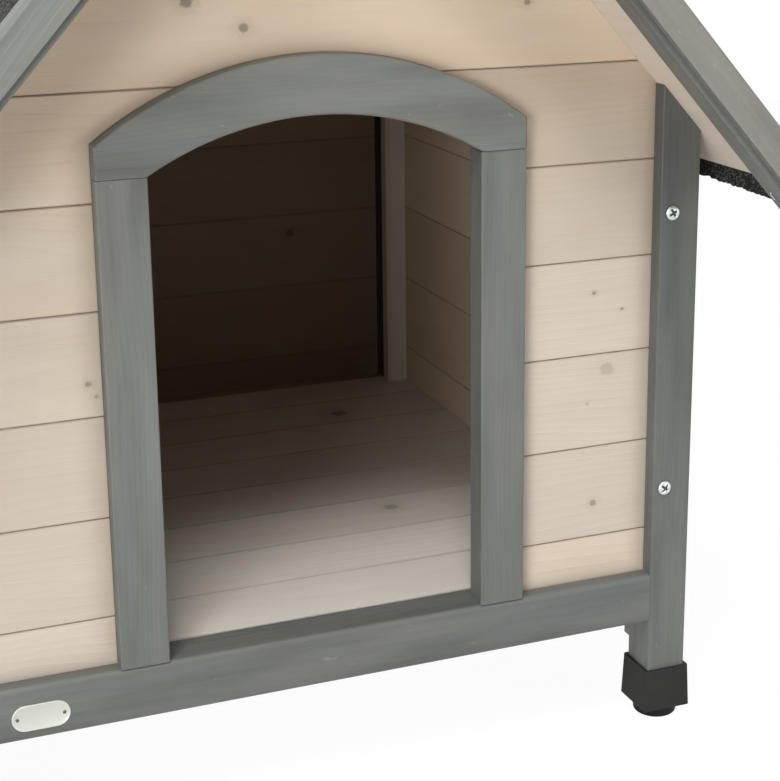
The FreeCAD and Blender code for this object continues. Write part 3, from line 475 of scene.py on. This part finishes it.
# Across from the middle, height above the rail, radius, and depth of colour.
FRONT_KNOTS = [
    (-0.101, 0.536, 0.0050, 0.75), (-0.056, 0.515, 0.0042, 0.7), (0.187, 0.525, 0.0030, 0.7),
    (-0.192, 0.242, 0.0026, 0.7), (-0.186, 0.231, 0.0020, 0.6), (0.254, 0.270, 0.0020, 0.75),
    (0.282, 0.253, 0.0015, 0.7), (0.268, 0.199, 0.0070, 0.28), (0.249, 0.169, 0.0013, 0.5),
    (0.257, 0.074, 0.0034, 0.6)]
front_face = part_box("front_gable_boards")[0].y
front_knots = [((across, rail_top + up, front_face), radius, depth)
               for across, up, radius, depth in FRONT_KNOTS]
# The seeds make the top board on the left pale and the one on the right dark: painted light and
# shade under the roof's overhang.
for part, seed in (("left", 364134.0), ("right", 131677.0), ("gable", 34399.0)):
    dress(glazed_boards(f"glazed_front_{part}_boards", ("X", "Z", "Y"), FRONT_COVER, front_seam,
                        seed, front_knots, finish=frame_glaze_shade_and_roof_bounce), f"front_{part}_boards")

# ------------------------------------------------------------ side and back boards
# The same boards, a little wider, nailed to the corner battens.  Their inner
# faces have no glaze, and their colour there is painted shade of the dim inside,
# most of all on the back wall.

WALL_COVER, BACK_FIRST, SIDE_FIRST = 0.090, 0.0385, 0.0447
FACE_DEPTH = 0.004
back_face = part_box("back_boards")[0].y
back_knots = [((0.186, rail_top + 0.195, back_face), 0.005, 0.7)]
back_glaze = glazed_boards("glazed_back_boards", ("X", "Z", "Y"), WALL_COVER,
                           rail_top + BACK_FIRST - HALF_GAP, 21.0, back_knots, share=0.08,
                           inner_face_shade=("Y", back_face + FACE_DEPTH, (0.38, 0.31, 0.25, 1)))
side_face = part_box("right_boards")[0].x
side_glaze = glazed_boards("glazed_side_boards", ("Y", "Z", "X"), WALL_COVER,
                           rail_top + SIDE_FIRST - HALF_GAP, 40.0, share=0.03,
                           inner_face_shade=("X", side_face + FACE_DEPTH, (0.70, 0.61, 0.52, 1)))
dress(back_glaze, "back_boards")
dress(side_glaze, "left_boards", "right_boards")

# ------------------------------------------------------------ floor
# Boards across the house, flush with the rails, on three bearers.  Their glaze
# is paler and greyer than that of the walls, and their seams are dark.

FLOOR_COVER, FLOOR_FIRST = 0.0805, 0.078
FLOOR_SEAM = (0.20, 0.16, 0.12, 1)
floor_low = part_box("floor_boards")[0]
floor_knots = [((0.150, -0.071, rail_top), 0.008, 0.55), ((0.199, 0.232, rail_top), 0.010, 0.7)]
floor_glaze = glazed_boards("glazed_floor_boards", ("X", "Y", "Z"), FLOOR_COVER,
                            floor_low.y + FLOOR_FIRST - HALF_GAP, 207156.0, floor_knots,
                            share=0.06, tone=1.04, joint=0.0024, glaze=FLOOR_GLAZE,
                            seam=FLOOR_SEAM)
dress(floor_glaze, "floor_boards")

# ------------------------------------------------------------ battens
# Planed pine of the same glaze: uprights in the corners and behind the jambs,
# rails under the eaves, sloping battens in the gables, bearers under the floor.

SINGLE_TIMBER = 0.5
THIN_SEAM = 0.0007


def glazed_timber(name, axes, tilt=0.0, seed=0.0, tone=1.0):
    """Material for single pieces of glazed pine, as one board wider than the piece."""
    return glazed_boards(name, axes, SINGLE_TIMBER, -0.25 + seed * 0.013, seed, share=0.05,
                         tilt=tilt, tone=tone, joint=THIN_SEAM)


# The uprights' lower tone is painted shade inside the house.
upright_glaze = glazed_timber("glazed_uprights", ("Z", "X", "Y"), seed=81.0, tone=0.76)
lengthwise_glaze = glazed_timber("glazed_eave_rails", ("Y", "Z", "X"), seed=85.0)
crosswise_glaze = glazed_timber("glazed_bearers", ("X", "Z", "Y"), seed=88.0)
dress(upright_glaze, "front_left_batten", "front_right_batten", "back_left_batten",
      "back_right_batten", "left_door_batten", "right_door_batten")
dress(lengthwise_glaze, "left_eave_rail", "right_eave_rail")
dress(crosswise_glaze, "floor_bearers")

ROOF_PITCH = math.radians(48.4)
for side, tilt in (("left", ROOF_PITCH), ("right", -ROOF_PITCH)):
    sloping = glazed_timber(f"glazed_{side}_gable_battens", ("X", "Z", "Y"), tilt, 90.0)
    dress(sloping, f"front_{side}_gable_batten", f"back_{side}_gable_batten")

# ------------------------------------------------------------ roof boards
# Thin wide boards along the house, seen from below at the overhang, with
# battens under them that drop between the gables.

ROOF_COVER = 0.2895
peak = Vector((0, 0, 0.948))
for side, sign in (("left", -1), ("right", 1)):
    tilt = -ROOF_PITCH * sign
    turned = Matrix.Rotation(tilt, 3, "Y") @ peak
    boards = glazed_boards(f"glazed_{side}_roof_boards", ("Y", "X", "Z"), ROOF_COVER,
                           turned.x, 100.0 + sign, share=0.10, tilt=tilt)
    dress(boards, f"{side}_roof_boards")
    inner_battens = glazed_boards(f"glazed_{side}_roof_battens", ("X", "Z", "Y"), SINGLE_TIMBER,
                                  0.0, 110.0, tilt=tilt, joint=THIN_SEAM)
    dress(inner_battens, f"{side}_roof_inner_battens")

# ------------------------------------------------------------ grey trim
# Posts, rails, door frame, roof edges: pine under a grey stain that is thin
# enough to show the grain, with bluer patches and small chips.  It stops inside
# the house, where the back rail is bare.

STAIN_MID = (0.203, 0.209, 0.186, 1)
STAIN_LIGHT = (0.268, 0.269, 0.242, 1)
STAIN_DARK = (0.131, 0.135, 0.119, 1)
STAIN_BLUE = (0.188, 0.203, 0.194, 1)
CHIP_GREY = (0.40, 0.41, 0.38, 1)
BARE_PINE = (0.30, 0.24, 0.18, 1)


def stained_timber(name, axes, tilt=0.0, offset=(0.0, 0.0, 0.0), tone=1.0, tint=(1, 1, 1),
                   shade_by_height=None, bare=None):
    """Material for a piece of grey-stained pine.

    The levels at the foot and at the head paint shade along its height, such as
    the roof's shade on the heads of the front posts; bare is the place along Y
    in front of which it has no stain.
    """
    material, tree, shader = new_material(name, 0.5, 0.4)
    point = grain_point(tree, *axes, tilt)
    point = add_node(tree, "ShaderNodeVectorMath", {0: point, 1: offset},
                     operation="ADD").outputs[0]
    figure = place_group(tree, timber, {"Point": point, "Ring width": 0.0052, "Sway": 0.035})
    patch = add_node(tree, "ShaderNodeMapRange",
                     {"Value": figure["Cloud"], "From Min": 0.38, "From Max": 0.64}).outputs[0]
    colour = blend_colours(tree, patch, STAIN_MID, STAIN_BLUE)
    colour = blend_colours(tree, sum_up(tree, "MULTIPLY", figure["Rings"], 0.09), colour,
                           STAIN_DARK)
    light = add_node(tree, "ShaderNodeMapRange",
                     {"Value": figure["Streak"], "From Min": 0.50, "From Max": 0.74,
                      "To Max": 0.55}).outputs[0]
    colour = blend_colours(tree, light, colour, STAIN_LIGHT)
    dark = add_node(tree, "ShaderNodeMapRange",
                    {"Value": figure["Streak"], "From Min": 0.49, "From Max": 0.29,
                     "To Max": 0.7}).outputs[0]
    colour = blend_colours(tree, dark, colour, STAIN_DARK)
    long_point = add_node(tree, "ShaderNodeVectorMath", {0: point, 1: (70, 190, 190)},
                          operation="MULTIPLY").outputs[0]
    chips = add_node(tree, "ShaderNodeTexNoise", {"Vector": long_point, "Scale": 1.0,
                                                  "Detail": 2.0}).outputs["Fac"]
    chips = add_node(tree, "ShaderNodeMapRange", {"Value": chips, "From Min": 0.72,
                                                  "From Max": 0.78, "To Max": 0.35}).outputs[0]
    colour = blend_colours(tree, chips, colour, CHIP_GREY)
    shade = tuple(tone * channel for channel in tint) + (1,)
    colour = blend_colours(tree, 1.0, colour, shade, "MULTIPLY")
    # Lighter or darker along the height: painted shade.
    if shade_by_height:
        foot, head = shade_by_height
        level = add_node(tree, "ShaderNodeMapRange", {
            "Value": house_point(tree)["Z"], "From Min": 0.06, "From Max": 0.56,
            "To Min": foot, "To Max": head}).outputs[0]
        colour = blend_colours(tree, 1.0, colour, even_grey(tree, level), "MULTIPLY")
    if bare:
        inside = sum_up(tree, "LESS_THAN", house_point(tree)["Y"], bare)
        colour = blend_colours(tree, inside, colour, BARE_PINE)
    tree.links.new(colour, shader.inputs["Base Color"])
    rough = add_node(tree, "ShaderNodeMapRange", {"Value": figure["Fibre"], "To Min": 0.42,
                                                  "To Max": 0.62}).outputs[0]
    tree.links.new(rough, shader.inputs["Roughness"])
    set_bump(tree, shader, figure["Height"], 0.00022)
    return material


# Tone, and its levels at the foot and at the head, which paint shade along the
# height, darkest at the head of the front right post under the roof's overhang.
UPRIGHTS = {"front_left_post": (0.78, 1.0, 0.9), "front_right_post": (0.69, 1.13, 0.76),
            "back_left_post": (0.8, 1.0, 1.0), "back_right_post": (0.76, 1.0, 1.0),
            "left_jamb": (0.84, 0.84, 1.06), "right_jamb": (0.76, 0.93, 1.0)}
for number, (name, (tone, foot, head)) in enumerate(UPRIGHTS.items()):
    dress(stained_timber(f"stained_{name}", ("Z", "X", "Y"),
                         offset=(number * 1.7, 0.31 * number, 0.02), tone=tone,
                         shade_by_height=(foot, head)), name)
dress(stained_timber("stained_front_rail", ("X", "Z", "Y"), offset=(0.4, 0.0, 0.1), tone=0.72),
      "front_rail")
dress(stained_timber("stained_back_rail", ("X", "Z", "Y"), offset=(0.4, 0.4, 0.1), tone=0.72,
                     bare=back_face + 0.001), "back_rail")
dress(stained_timber("stained_side_rails", ("Y", "Z", "X"), offset=(2.4, 0.3, 0.1), tone=0.76),
      "left_rail", "right_rail")
dress(stained_timber("stained_arch_head", ("X", "Z", "Y"), offset=(5.0, -0.48, 0.35), tone=0.87),
      "arch_head")
dress(stained_timber("stained_cleats", ("Z", "Y", "X"), tone=0.8), "leg_cleats")
for side, sign in (("left", -1), ("right", 1)):
    tilt = -ROOF_PITCH * sign
    warmth = (1.0, 1.0, 1.0) if side == "left" else (1.12, 1.06, 1.03)
    barges = stained_timber(f"stained_{side}_barges", ("X", "Z", "Y"), tilt,
                            (sign * 3.0, 0.02, 0.03), 1.0, warmth)
    dress(barges, f"front_{side}_barge", f"back_{side}_barge")
    edge_battens = stained_timber(f"stained_{side}_edge_battens", ("X", "Z", "Y"), tilt,
                                  (sign * 3.7, 0.02, 0.03), 0.82)
    dress(edge_battens, f"{side}_roof_edge_battens")
# A near-black strip in each back corner stands for the shadow in the gap between the back boards
# and the corner batten.
dress(stained_timber("corner_shadow_strip", ("Z", "X", "Y"), tone=0.12), "corner_seals")

# ------------------------------------------------------------ roofing felt
# Bitumen felt with mineral grit, cut with a knife at the ridge and turned
# down over the eave, where its edge is ragged.


def grit_material(name):
    """Material for bitumen felt with pale and dark grains."""
    material, tree, shader = new_material(name, 0.9, 0.25)
    point = add_node(tree, "ShaderNodeTexCoord").outputs["Object"]
    grains = add_node(tree, "ShaderNodeTexVoronoi", {"Vector": point, "Scale": 620.0})
    tint = add_node(tree, "ShaderNodeSeparateColor", {0: grains.outputs["Color"]}).outputs["Red"]
    fleck = add_node(tree, "ShaderNodeMapRange", {"Value": tint, "From Min": 0.62,
                                                  "From Max": 1.0}).outputs[0]
    cloud = add_node(tree, "ShaderNodeTexNoise", {"Vector": point, "Scale": 35.0,
                                                  "Detail": 4.0}).outputs["Fac"]
    fleck = sum_up(tree, "MULTIPLY", fleck, sum_up(tree, "MULTIPLY", cloud, 1.3))
    colour = blend_colours(tree, fleck, (0.022, 0.022, 0.021, 1), (0.20, 0.20, 0.19, 1))
    tree.links.new(colour, shader.inputs["Base Color"])
    high = sum_up(tree, "SUBTRACT", 1.0, grains.outputs["Distance"])
    set_bump(tree, shader, high, 0.0008)
    return material


grit = grit_material("mineral_felt")
dress(grit, "left_felt", "right_felt", "left_ridge_strip", "right_ridge_strip")

# ------------------------------------------------------------ feet
# Black moulded caps on the posts' lower ends, and round feet under them whose
# threaded stems screw up through the caps.


def moulded_plastic(name, colour, roughness):
    """Material for black plastic with a fine grain and a little dust."""
    material, tree, shader = new_material(name, roughness, 0.12)
    point = add_node(tree, "ShaderNodeTexCoord").outputs["Object"]
    fine = add_node(tree, "ShaderNodeTexNoise", {"Vector": point, "Scale": 900.0,
                                                 "Detail": 2.0}).outputs["Fac"]
    broad = add_node(tree, "ShaderNodeTexNoise", {"Vector": point, "Scale": 30.0,
                                                  "Detail": 3.0}).outputs["Fac"]
    dust = add_node(tree, "ShaderNodeMapRange", {"Value": broad, "From Min": 0.45, "From Max": 0.8,
                                                 "To Max": 0.35}).outputs[0]
    pale = tuple(channel * 1.6 for channel in colour[:3]) + (1,)
    tree.links.new(blend_colours(tree, dust, colour, pale), shader.inputs["Base Color"])
    rough = add_node(tree, "ShaderNodeMapRange", {"Value": broad, "To Min": roughness - 0.08,
                                                  "To Max": roughness + 0.12}).outputs[0]
    tree.links.new(rough, shader.inputs["Roughness"])
    set_bump(tree, shader, fine, 0.00012)
    return material


cap_plastic = moulded_plastic("black_cap_plastic", (0.029, 0.029, 0.026, 1), 0.6)
foot_plastic = moulded_plastic("black_foot_plastic", (0.014, 0.014, 0.013, 1), 0.55)
corners = [f"{end}_{side}" for end in ("front", "back") for side in ("left", "right")]
dress(cap_plastic, *[f"{corner}_foot_cap" for corner in corners])
dress(foot_plastic, *[f"{corner}_glide" for corner in corners])

# ------------------------------------------------------------ hinges
# Three zinc-plated butt hinges on the ridge, whose leaves lie on the felt
# strips and are screwed down through them.


def zinc_material(name):
    """Material for zinc-plated steel with its faint mottle."""
    material, tree, shader = new_material(name, 0.35, 0.5)
    shader.inputs["Metallic"].default_value = 1.0
    point = add_node(tree, "ShaderNodeTexCoord").outputs["Object"]
    mottle = add_node(tree, "ShaderNodeTexNoise", {"Vector": point, "Scale": 240.0,
                                                   "Detail": 4.0}).outputs["Fac"]
    colour = blend_colours(tree, mottle, (0.56, 0.59, 0.58, 1), (0.74, 0.77, 0.76, 1))
    tree.links.new(colour, shader.inputs["Base Color"])
    rough = add_node(tree, "ShaderNodeMapRange", {"Value": mottle, "To Min": 0.22,
                                                  "To Max": 0.48}).outputs[0]
    tree.links.new(rough, shader.inputs["Roughness"])
    set_bump(tree, shader, mottle, 0.00008)
    return material


zinc = zinc_material("zinc_plated_steel")
dress(zinc, "left_hinge_leaves", "right_hinge_leaves", "hinge_pins", "front_screws",
      "back_screws")

# ------------------------------------------------------------ post screws
# Zinc-plated pan-head screws with a cross recess, two in each post, turned
# home against the wood.


def add_piece(name, mesh, body, material):
    """A visual piece that rides on one body."""
    piece = bpy.data.objects.new(name, mesh)
    scene.collection.objects.link(piece)
    mesh.materials.append(material)
    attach(piece, body)
    return piece


def turned_head(heads, profile, recess, place, turn, segments=48):
    """A turned head that points along its own Z, with the floor of its cross recess
    in the second material.  recess is its reach, half width and depth, or None."""
    reach, half, depth = recess or (0.0, 0.0, 0.0)
    rings = []
    deep = set()
    for radius, height in profile:
        ring = []
        for step in range(segments):
            angle = 2 * math.pi * step / segments
            x, y = radius * math.cos(angle), radius * math.sin(angle)
            drop = 0.0
            if recess and height > 0:
                along, beside = max(abs(x), abs(y)), min(abs(x), abs(y))
                inside = min(1.0, max(0.0, (half - beside) / (half * 0.5)))
                inside *= min(1.0, max(0.0, (reach - along) / (reach * 0.3)))
                drop = depth * inside
            ring.append(heads.verts.new(place @ (turn @ Vector((x, y, height - drop)))))
            if recess and drop > depth * 0.35:
                deep.add(ring[-1])
        rings.append(ring)
    for inner, outer in zip(rings, rings[1:]):
        for step in range(segments):
            after = (step + 1) % segments
            face = heads.faces.new((inner[step], outer[step], outer[after], inner[after]))
            face.material_index = int(sum(vertex in deep for vertex in face.verts) > 2)
    middle = heads.verts.new(place @ (turn @ Vector((0, 0, profile[0][1] - depth))))
    for step in range(segments):
        face = heads.faces.new((middle, rings[0][step], rings[0][(step + 1) % segments]))
        face.material_index = int(recess is not None)


def smooth_mesh(name, form):
    """A smooth-shaded mesh of the finished form."""
    mesh = bpy.data.meshes.new(name)
    bmesh.ops.recalc_face_normals(form, faces=form.faces)
    form.to_mesh(mesh)
    form.free()
    mesh.polygons.foreach_set("use_smooth", [True] * len(mesh.polygons))
    return mesh


# A darker metal on the floor of each cross recess: painted shade in the recess.
recess_shade, tree, shader = new_material("shaded_recess", 0.6, 0.4)
shader.inputs["Metallic"].default_value = 0.9
shade_speckle = add_node(tree, "ShaderNodeTexNoise", {
    "Vector": add_node(tree, "ShaderNodeTexCoord").outputs["Object"], "Scale": 900.0})
tree.links.new(blend_colours(tree, shade_speckle.outputs["Fac"], (0.10, 0.105, 0.10, 1),
                             (0.20, 0.205, 0.20, 1)), shader.inputs["Base Color"])

# Radius and height of each ring, from the middle of the head to the tip.
PAN_HEAD = [(0.0002 + 0.0062 * part / 14, 0.0034 - 0.0016 * (part / 14) ** 3)
            for part in range(15)]
PAN_HEAD += [(0.0066, 0.0013), (0.0066, 0.0004), (0.0062, 0.0), (0.0029, 0.0),
             (0.0029, -0.030), (0.0004, -0.035)]
PAN_RECESS = (0.0046, 0.0012, 0.0024)
SCREW_RADIUS = 0.0064
random.seed(7)
for end, face_end in (("front", -1), ("back", 1)):
    head_low, head_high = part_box(f"{end}_screws")
    face_low, face_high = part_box(f"{end}_left_post")
    face = face_low.y if face_end < 0 else face_high.y
    across = (head_high.x - head_low.x) / 2 - SCREW_RADIUS
    heights = (head_low.z + SCREW_RADIUS, head_high.z - SCREW_RADIUS)
    heads = bmesh.new()
    for side in (-1, 1):
        for height in heights:
            place = Matrix.Translation((across * side, face, height))
            twist = Matrix.Rotation(random.uniform(0.5, 1.1), 3, "Z")
            aim = Matrix.Rotation(math.pi / 2 * -face_end, 3, "X")
            turned_head(heads, PAN_HEAD, PAN_RECESS, place, aim @ twist)
    piece = add_piece(f"{end}_pan_heads", smooth_mesh(f"{end}_pan_heads", heads), "house",
                      zinc)
    piece.data.materials.append(recess_shade)
    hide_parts(f"{end}_screws")

# ------------------------------------------------------------ hinge screws
# Countersunk wood screws in the hinge leaves, their heads just proud of the
# sheet.

FLAT_HEAD = [(0.0002 + 0.0038 * part / 10, 0.0008 - 0.0005 * (part / 10) ** 3)
             for part in range(11)]
FLAT_HEAD += [(0.0042, 0.0), (0.0021, -0.0021), (0.0017, -0.006)]
FLAT_RECESS = (0.0024, 0.0006, 0.0011)
PIN_HEIGHT = 0.970895
HOLE_FROM_PIN = 0.0175
for side, sign, body in (("left", -1, "house"), ("right", 1, "right_roof")):
    slope = Matrix.Rotation(ROOF_PITCH * sign, 3, "Y")
    heads = bmesh.new()
    for middle in (-0.3, 0.0, 0.3):
        for offset in (-0.022, 0.022):
            spot = slope @ Vector((HOLE_FROM_PIN * sign, 0, -0.003))
            place = Matrix.Translation((spot.x, middle + offset, spot.z + PIN_HEIGHT))
            twist = Matrix.Rotation(random.uniform(0, math.pi / 2), 3, "Z")
            turned_head(heads, FLAT_HEAD, FLAT_RECESS, place, slope @ twist, 32)
    piece = add_piece(f"{side}_hinge_screws", smooth_mesh(f"{side}_hinge_screws", heads), body,
                      zinc)
    piece.data.materials.append(recess_shade)

# ------------------------------------------------------------ badge
# Oval sheet-metal plate on the front rail with a raised rim, left bare, held
# by two small nails.

badge_metal, tree, shader = new_material("badge_metal", 0.38, 0.5)
shader.inputs["Metallic"].default_value = 0.55
point = add_node(tree, "ShaderNodeTexCoord").outputs["Object"]
brushed = add_node(tree, "ShaderNodeVectorMath", {0: point, 1: (60, 60, 2200)},
                   operation="MULTIPLY").outputs[0]
lines = add_node(tree, "ShaderNodeTexNoise", {"Vector": brushed, "Scale": 1.0,
                                              "Detail": 3.0}).outputs["Fac"]
tree.links.new(blend_colours(tree, lines, (0.56, 0.58, 0.52, 1), (0.72, 0.73, 0.67, 1)),
               shader.inputs["Base Color"])
set_bump(tree, shader, lines, 0.00004)


def stadium(length, width, segments=20):
    """Outline of an oval plate with straight long sides."""
    radius = width / 2
    reach = length / 2 - radius
    points = []
    for centre, start in ((reach, -math.pi / 2), (-reach, math.pi / 2)):
        for step in range(segments + 1):
            angle = start + math.pi * step / segments
            points.append((centre + radius * math.cos(angle), radius * math.sin(angle)))
    return points


rail_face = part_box("front_rail")[0].y
BADGE_PLACE = Vector((-0.2480, rail_face, 0.1200))
PLATE_SHEET = 0.0008
plate = bmesh.new()
# Length, width and lift of each line from the back edge over the raised rim.
layers = [(0.0475, 0.0225, 0.0), (0.0475, 0.0225, 0.0007), (0.0471, 0.0221, 0.0011),
          (0.0461, 0.0211, 0.0012), (0.0452, 0.0202, 0.0010), (0.0446, 0.0196, 0.0008)]
loops = []
for length, width, lift in layers:
    loops.append([plate.verts.new(BADGE_PLACE + Vector((x, -lift, z)))
                  for x, z in stadium(length, width)])
for inner, outer in zip(loops, loops[1:]):
    for step in range(len(inner)):
        after = (step + 1) % len(inner)
        plate.faces.new((inner[step], inner[after], outer[after], outer[step]))
plate.faces.new(loops[-1])
add_piece("badge_plate", smooth_mesh("badge_plate", plate), "house", badge_metal)

nail_metal, tree, shader = new_material("blued_nail", 0.45, 0.5)
shader.inputs["Metallic"].default_value = 0.8
shader.inputs["Base Color"].default_value = (0.12, 0.115, 0.10, 1)
nails = bmesh.new()
NAIL_HEAD = [(0.0002, 0.0011), (0.0007, 0.00102), (0.0012, 0.0007), (0.00145, 0.0002),
             (0.00145, 0.0)]
for across in (-0.2671, -0.2293):
    place = Matrix.Translation((across, rail_face - PLATE_SHEET, BADGE_PLACE.z))
    turned_head(nails, NAIL_HEAD, None, place, Matrix.Rotation(math.pi / 2, 3, "X"), 20)
add_piece("badge_nails", smooth_mesh("badge_nails", nails), "house", nail_metal)

# ------------------------------------------------------------ staple
# Bright steel staple driven into the underside of the right front edge batten,
# near the eave.

STAPLE_PLACE = Vector((0.3605, -0.4134, 0.5149))
WIRE_WIDE, WIRE_THICK, WIRE_SIDES = 0.0014, 0.0010, 12
down_slope = Vector((math.cos(ROOF_PITCH), 0, -math.sin(ROOF_PITCH)))
outward = Vector((-math.sin(ROOF_PITCH), 0, -math.cos(ROOF_PITCH)))
sideways = Vector((0, 1, 0))
# Reach down the slope and lift out of the wood, from point to point.
bends = [(-0.0036, -0.0050), (-0.0036, 0.0004), (-0.0030, 0.0011), (0.0030, 0.0011),
         (0.0036, 0.0004), (0.0036, -0.0050)]
wire = bmesh.new()
rings = []
for step, (reach, lift) in enumerate(bends):
    before, after = bends[max(step - 1, 0)], bends[min(step + 1, len(bends) - 1)]
    run = down_slope * (after[0] - before[0]) + outward * (after[1] - before[1])
    upward = run.normalized().cross(sideways)
    centre = STAPLE_PLACE + down_slope * reach + outward * lift
    ring = []
    for part in range(WIRE_SIDES):
        turn = 2 * math.pi * part / WIRE_SIDES
        ring.append(wire.verts.new(centre + sideways * (WIRE_WIDE / 2 * math.cos(turn)) +
                                   upward * (WIRE_THICK / 2 * math.sin(turn))))
    rings.append(ring)
for first, second in zip(rings, rings[1:]):
    for part in range(WIRE_SIDES):
        after = (part + 1) % WIRE_SIDES
        wire.faces.new((first[part], second[part], second[after], first[after]))
wire.faces.new(rings[0])
wire.faces.new(rings[-1][::-1])
add_piece("batten_staple", smooth_mesh("batten_staple", wire), "right_roof", zinc)

# ------------------------------------------------------------ felt sheets
# One sheet to each roof half, from the ridge to the eave, bent over the board
# edge and hanging with a torn, slightly wavy edge between the edge battens.

FELT_LOW, FELT_HIGH = 0.0070, 0.0086
FELT_DROP = 0.0205
EDGE_BATTEN = 0.0249
STEPS = 360
RESTS = (0.001, 0.06, 0.13, 0.20, 0.27, 0.33)
HANGING_SHARES = (0.25, 0.5, 0.75, 1.0)


def on_slope(across, level):
    """Height of a felt face at a distance from the ridge line."""
    return peak.z + level / math.cos(ROOF_PITCH) - across * math.tan(ROOF_PITCH)


for side, sign, body in (("left", -1, "house"), ("right", 1, "right_roof")):
    low_corner, high_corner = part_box(f"{side}_felt")
    front, back = low_corner.y, high_corner.y
    eave = max(abs(low_corner.x), abs(high_corner.x))
    bend = eave - 0.0035
    bend_z = on_slope(bend, FELT_HIGH)
    hang_z = bend_z - 0.0055
    random.seed(11)
    ripple = [random.uniform(-1, 1) for _ in range(STEPS + 1)]
    sheet = bmesh.new()
    sections = []
    for step in range(STEPS + 1):
        y = front + (back - front) * step / STEPS
        hangs = front + EDGE_BATTEN < y < back - EDGE_BATTEN
        wave = noise.noise(Vector((y * 9, sign * 3, 0))) * 0.0022
        wave += noise.noise(Vector((y * 60, sign * 5, 1))) * 0.0016
        wave += noise.noise(Vector((y * 260, sign * 7, 2))) * 0.0012 + ripple[step] * 0.0004
        sway = noise.noise(Vector((y * 14, sign, 9))) * 0.0007
        drop = (FELT_DROP + wave) if hangs else 0.0
        outer = [(across, on_slope(across, FELT_HIGH)) for across in (*RESTS, bend)]
        outer += [(eave - 0.0016, bend_z - 0.0026), (eave - 0.0002, hang_z)]
        outer += [(eave + sway * share, hang_z - max(drop, 0.0004) * share)
                  for share in HANGING_SHARES]
        inner = [(across, on_slope(across, FELT_LOW)) for across in (*RESTS, bend - 0.0012)]
        inner += [(eave - 0.0028, bend_z - 0.0042), (eave - 0.0016, bend_z - 0.0064)]
        inner += [(eave - 0.0015 + sway * share,
                   hang_z - 0.0009 - max(drop - 0.0009, 0.0) * share)
                  for share in HANGING_SHARES]
        sections.append([sheet.verts.new((across * sign, y, height))
                         for across, height in outer + inner[::-1]])
    for first, second in zip(sections, sections[1:]):
        for place in range(len(first)):
            after = (place + 1) % len(first)
            sheet.faces.new((first[place], second[place], second[after], first[after]))
    sheet.faces.new(sections[0])
    sheet.faces.new(sections[-1][::-1])
    piece = add_piece(f"{side}_felt_sheet", smooth_mesh(f"{side}_felt_sheet", sheet), body,
                      grit)
    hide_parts(f"{side}_felt")
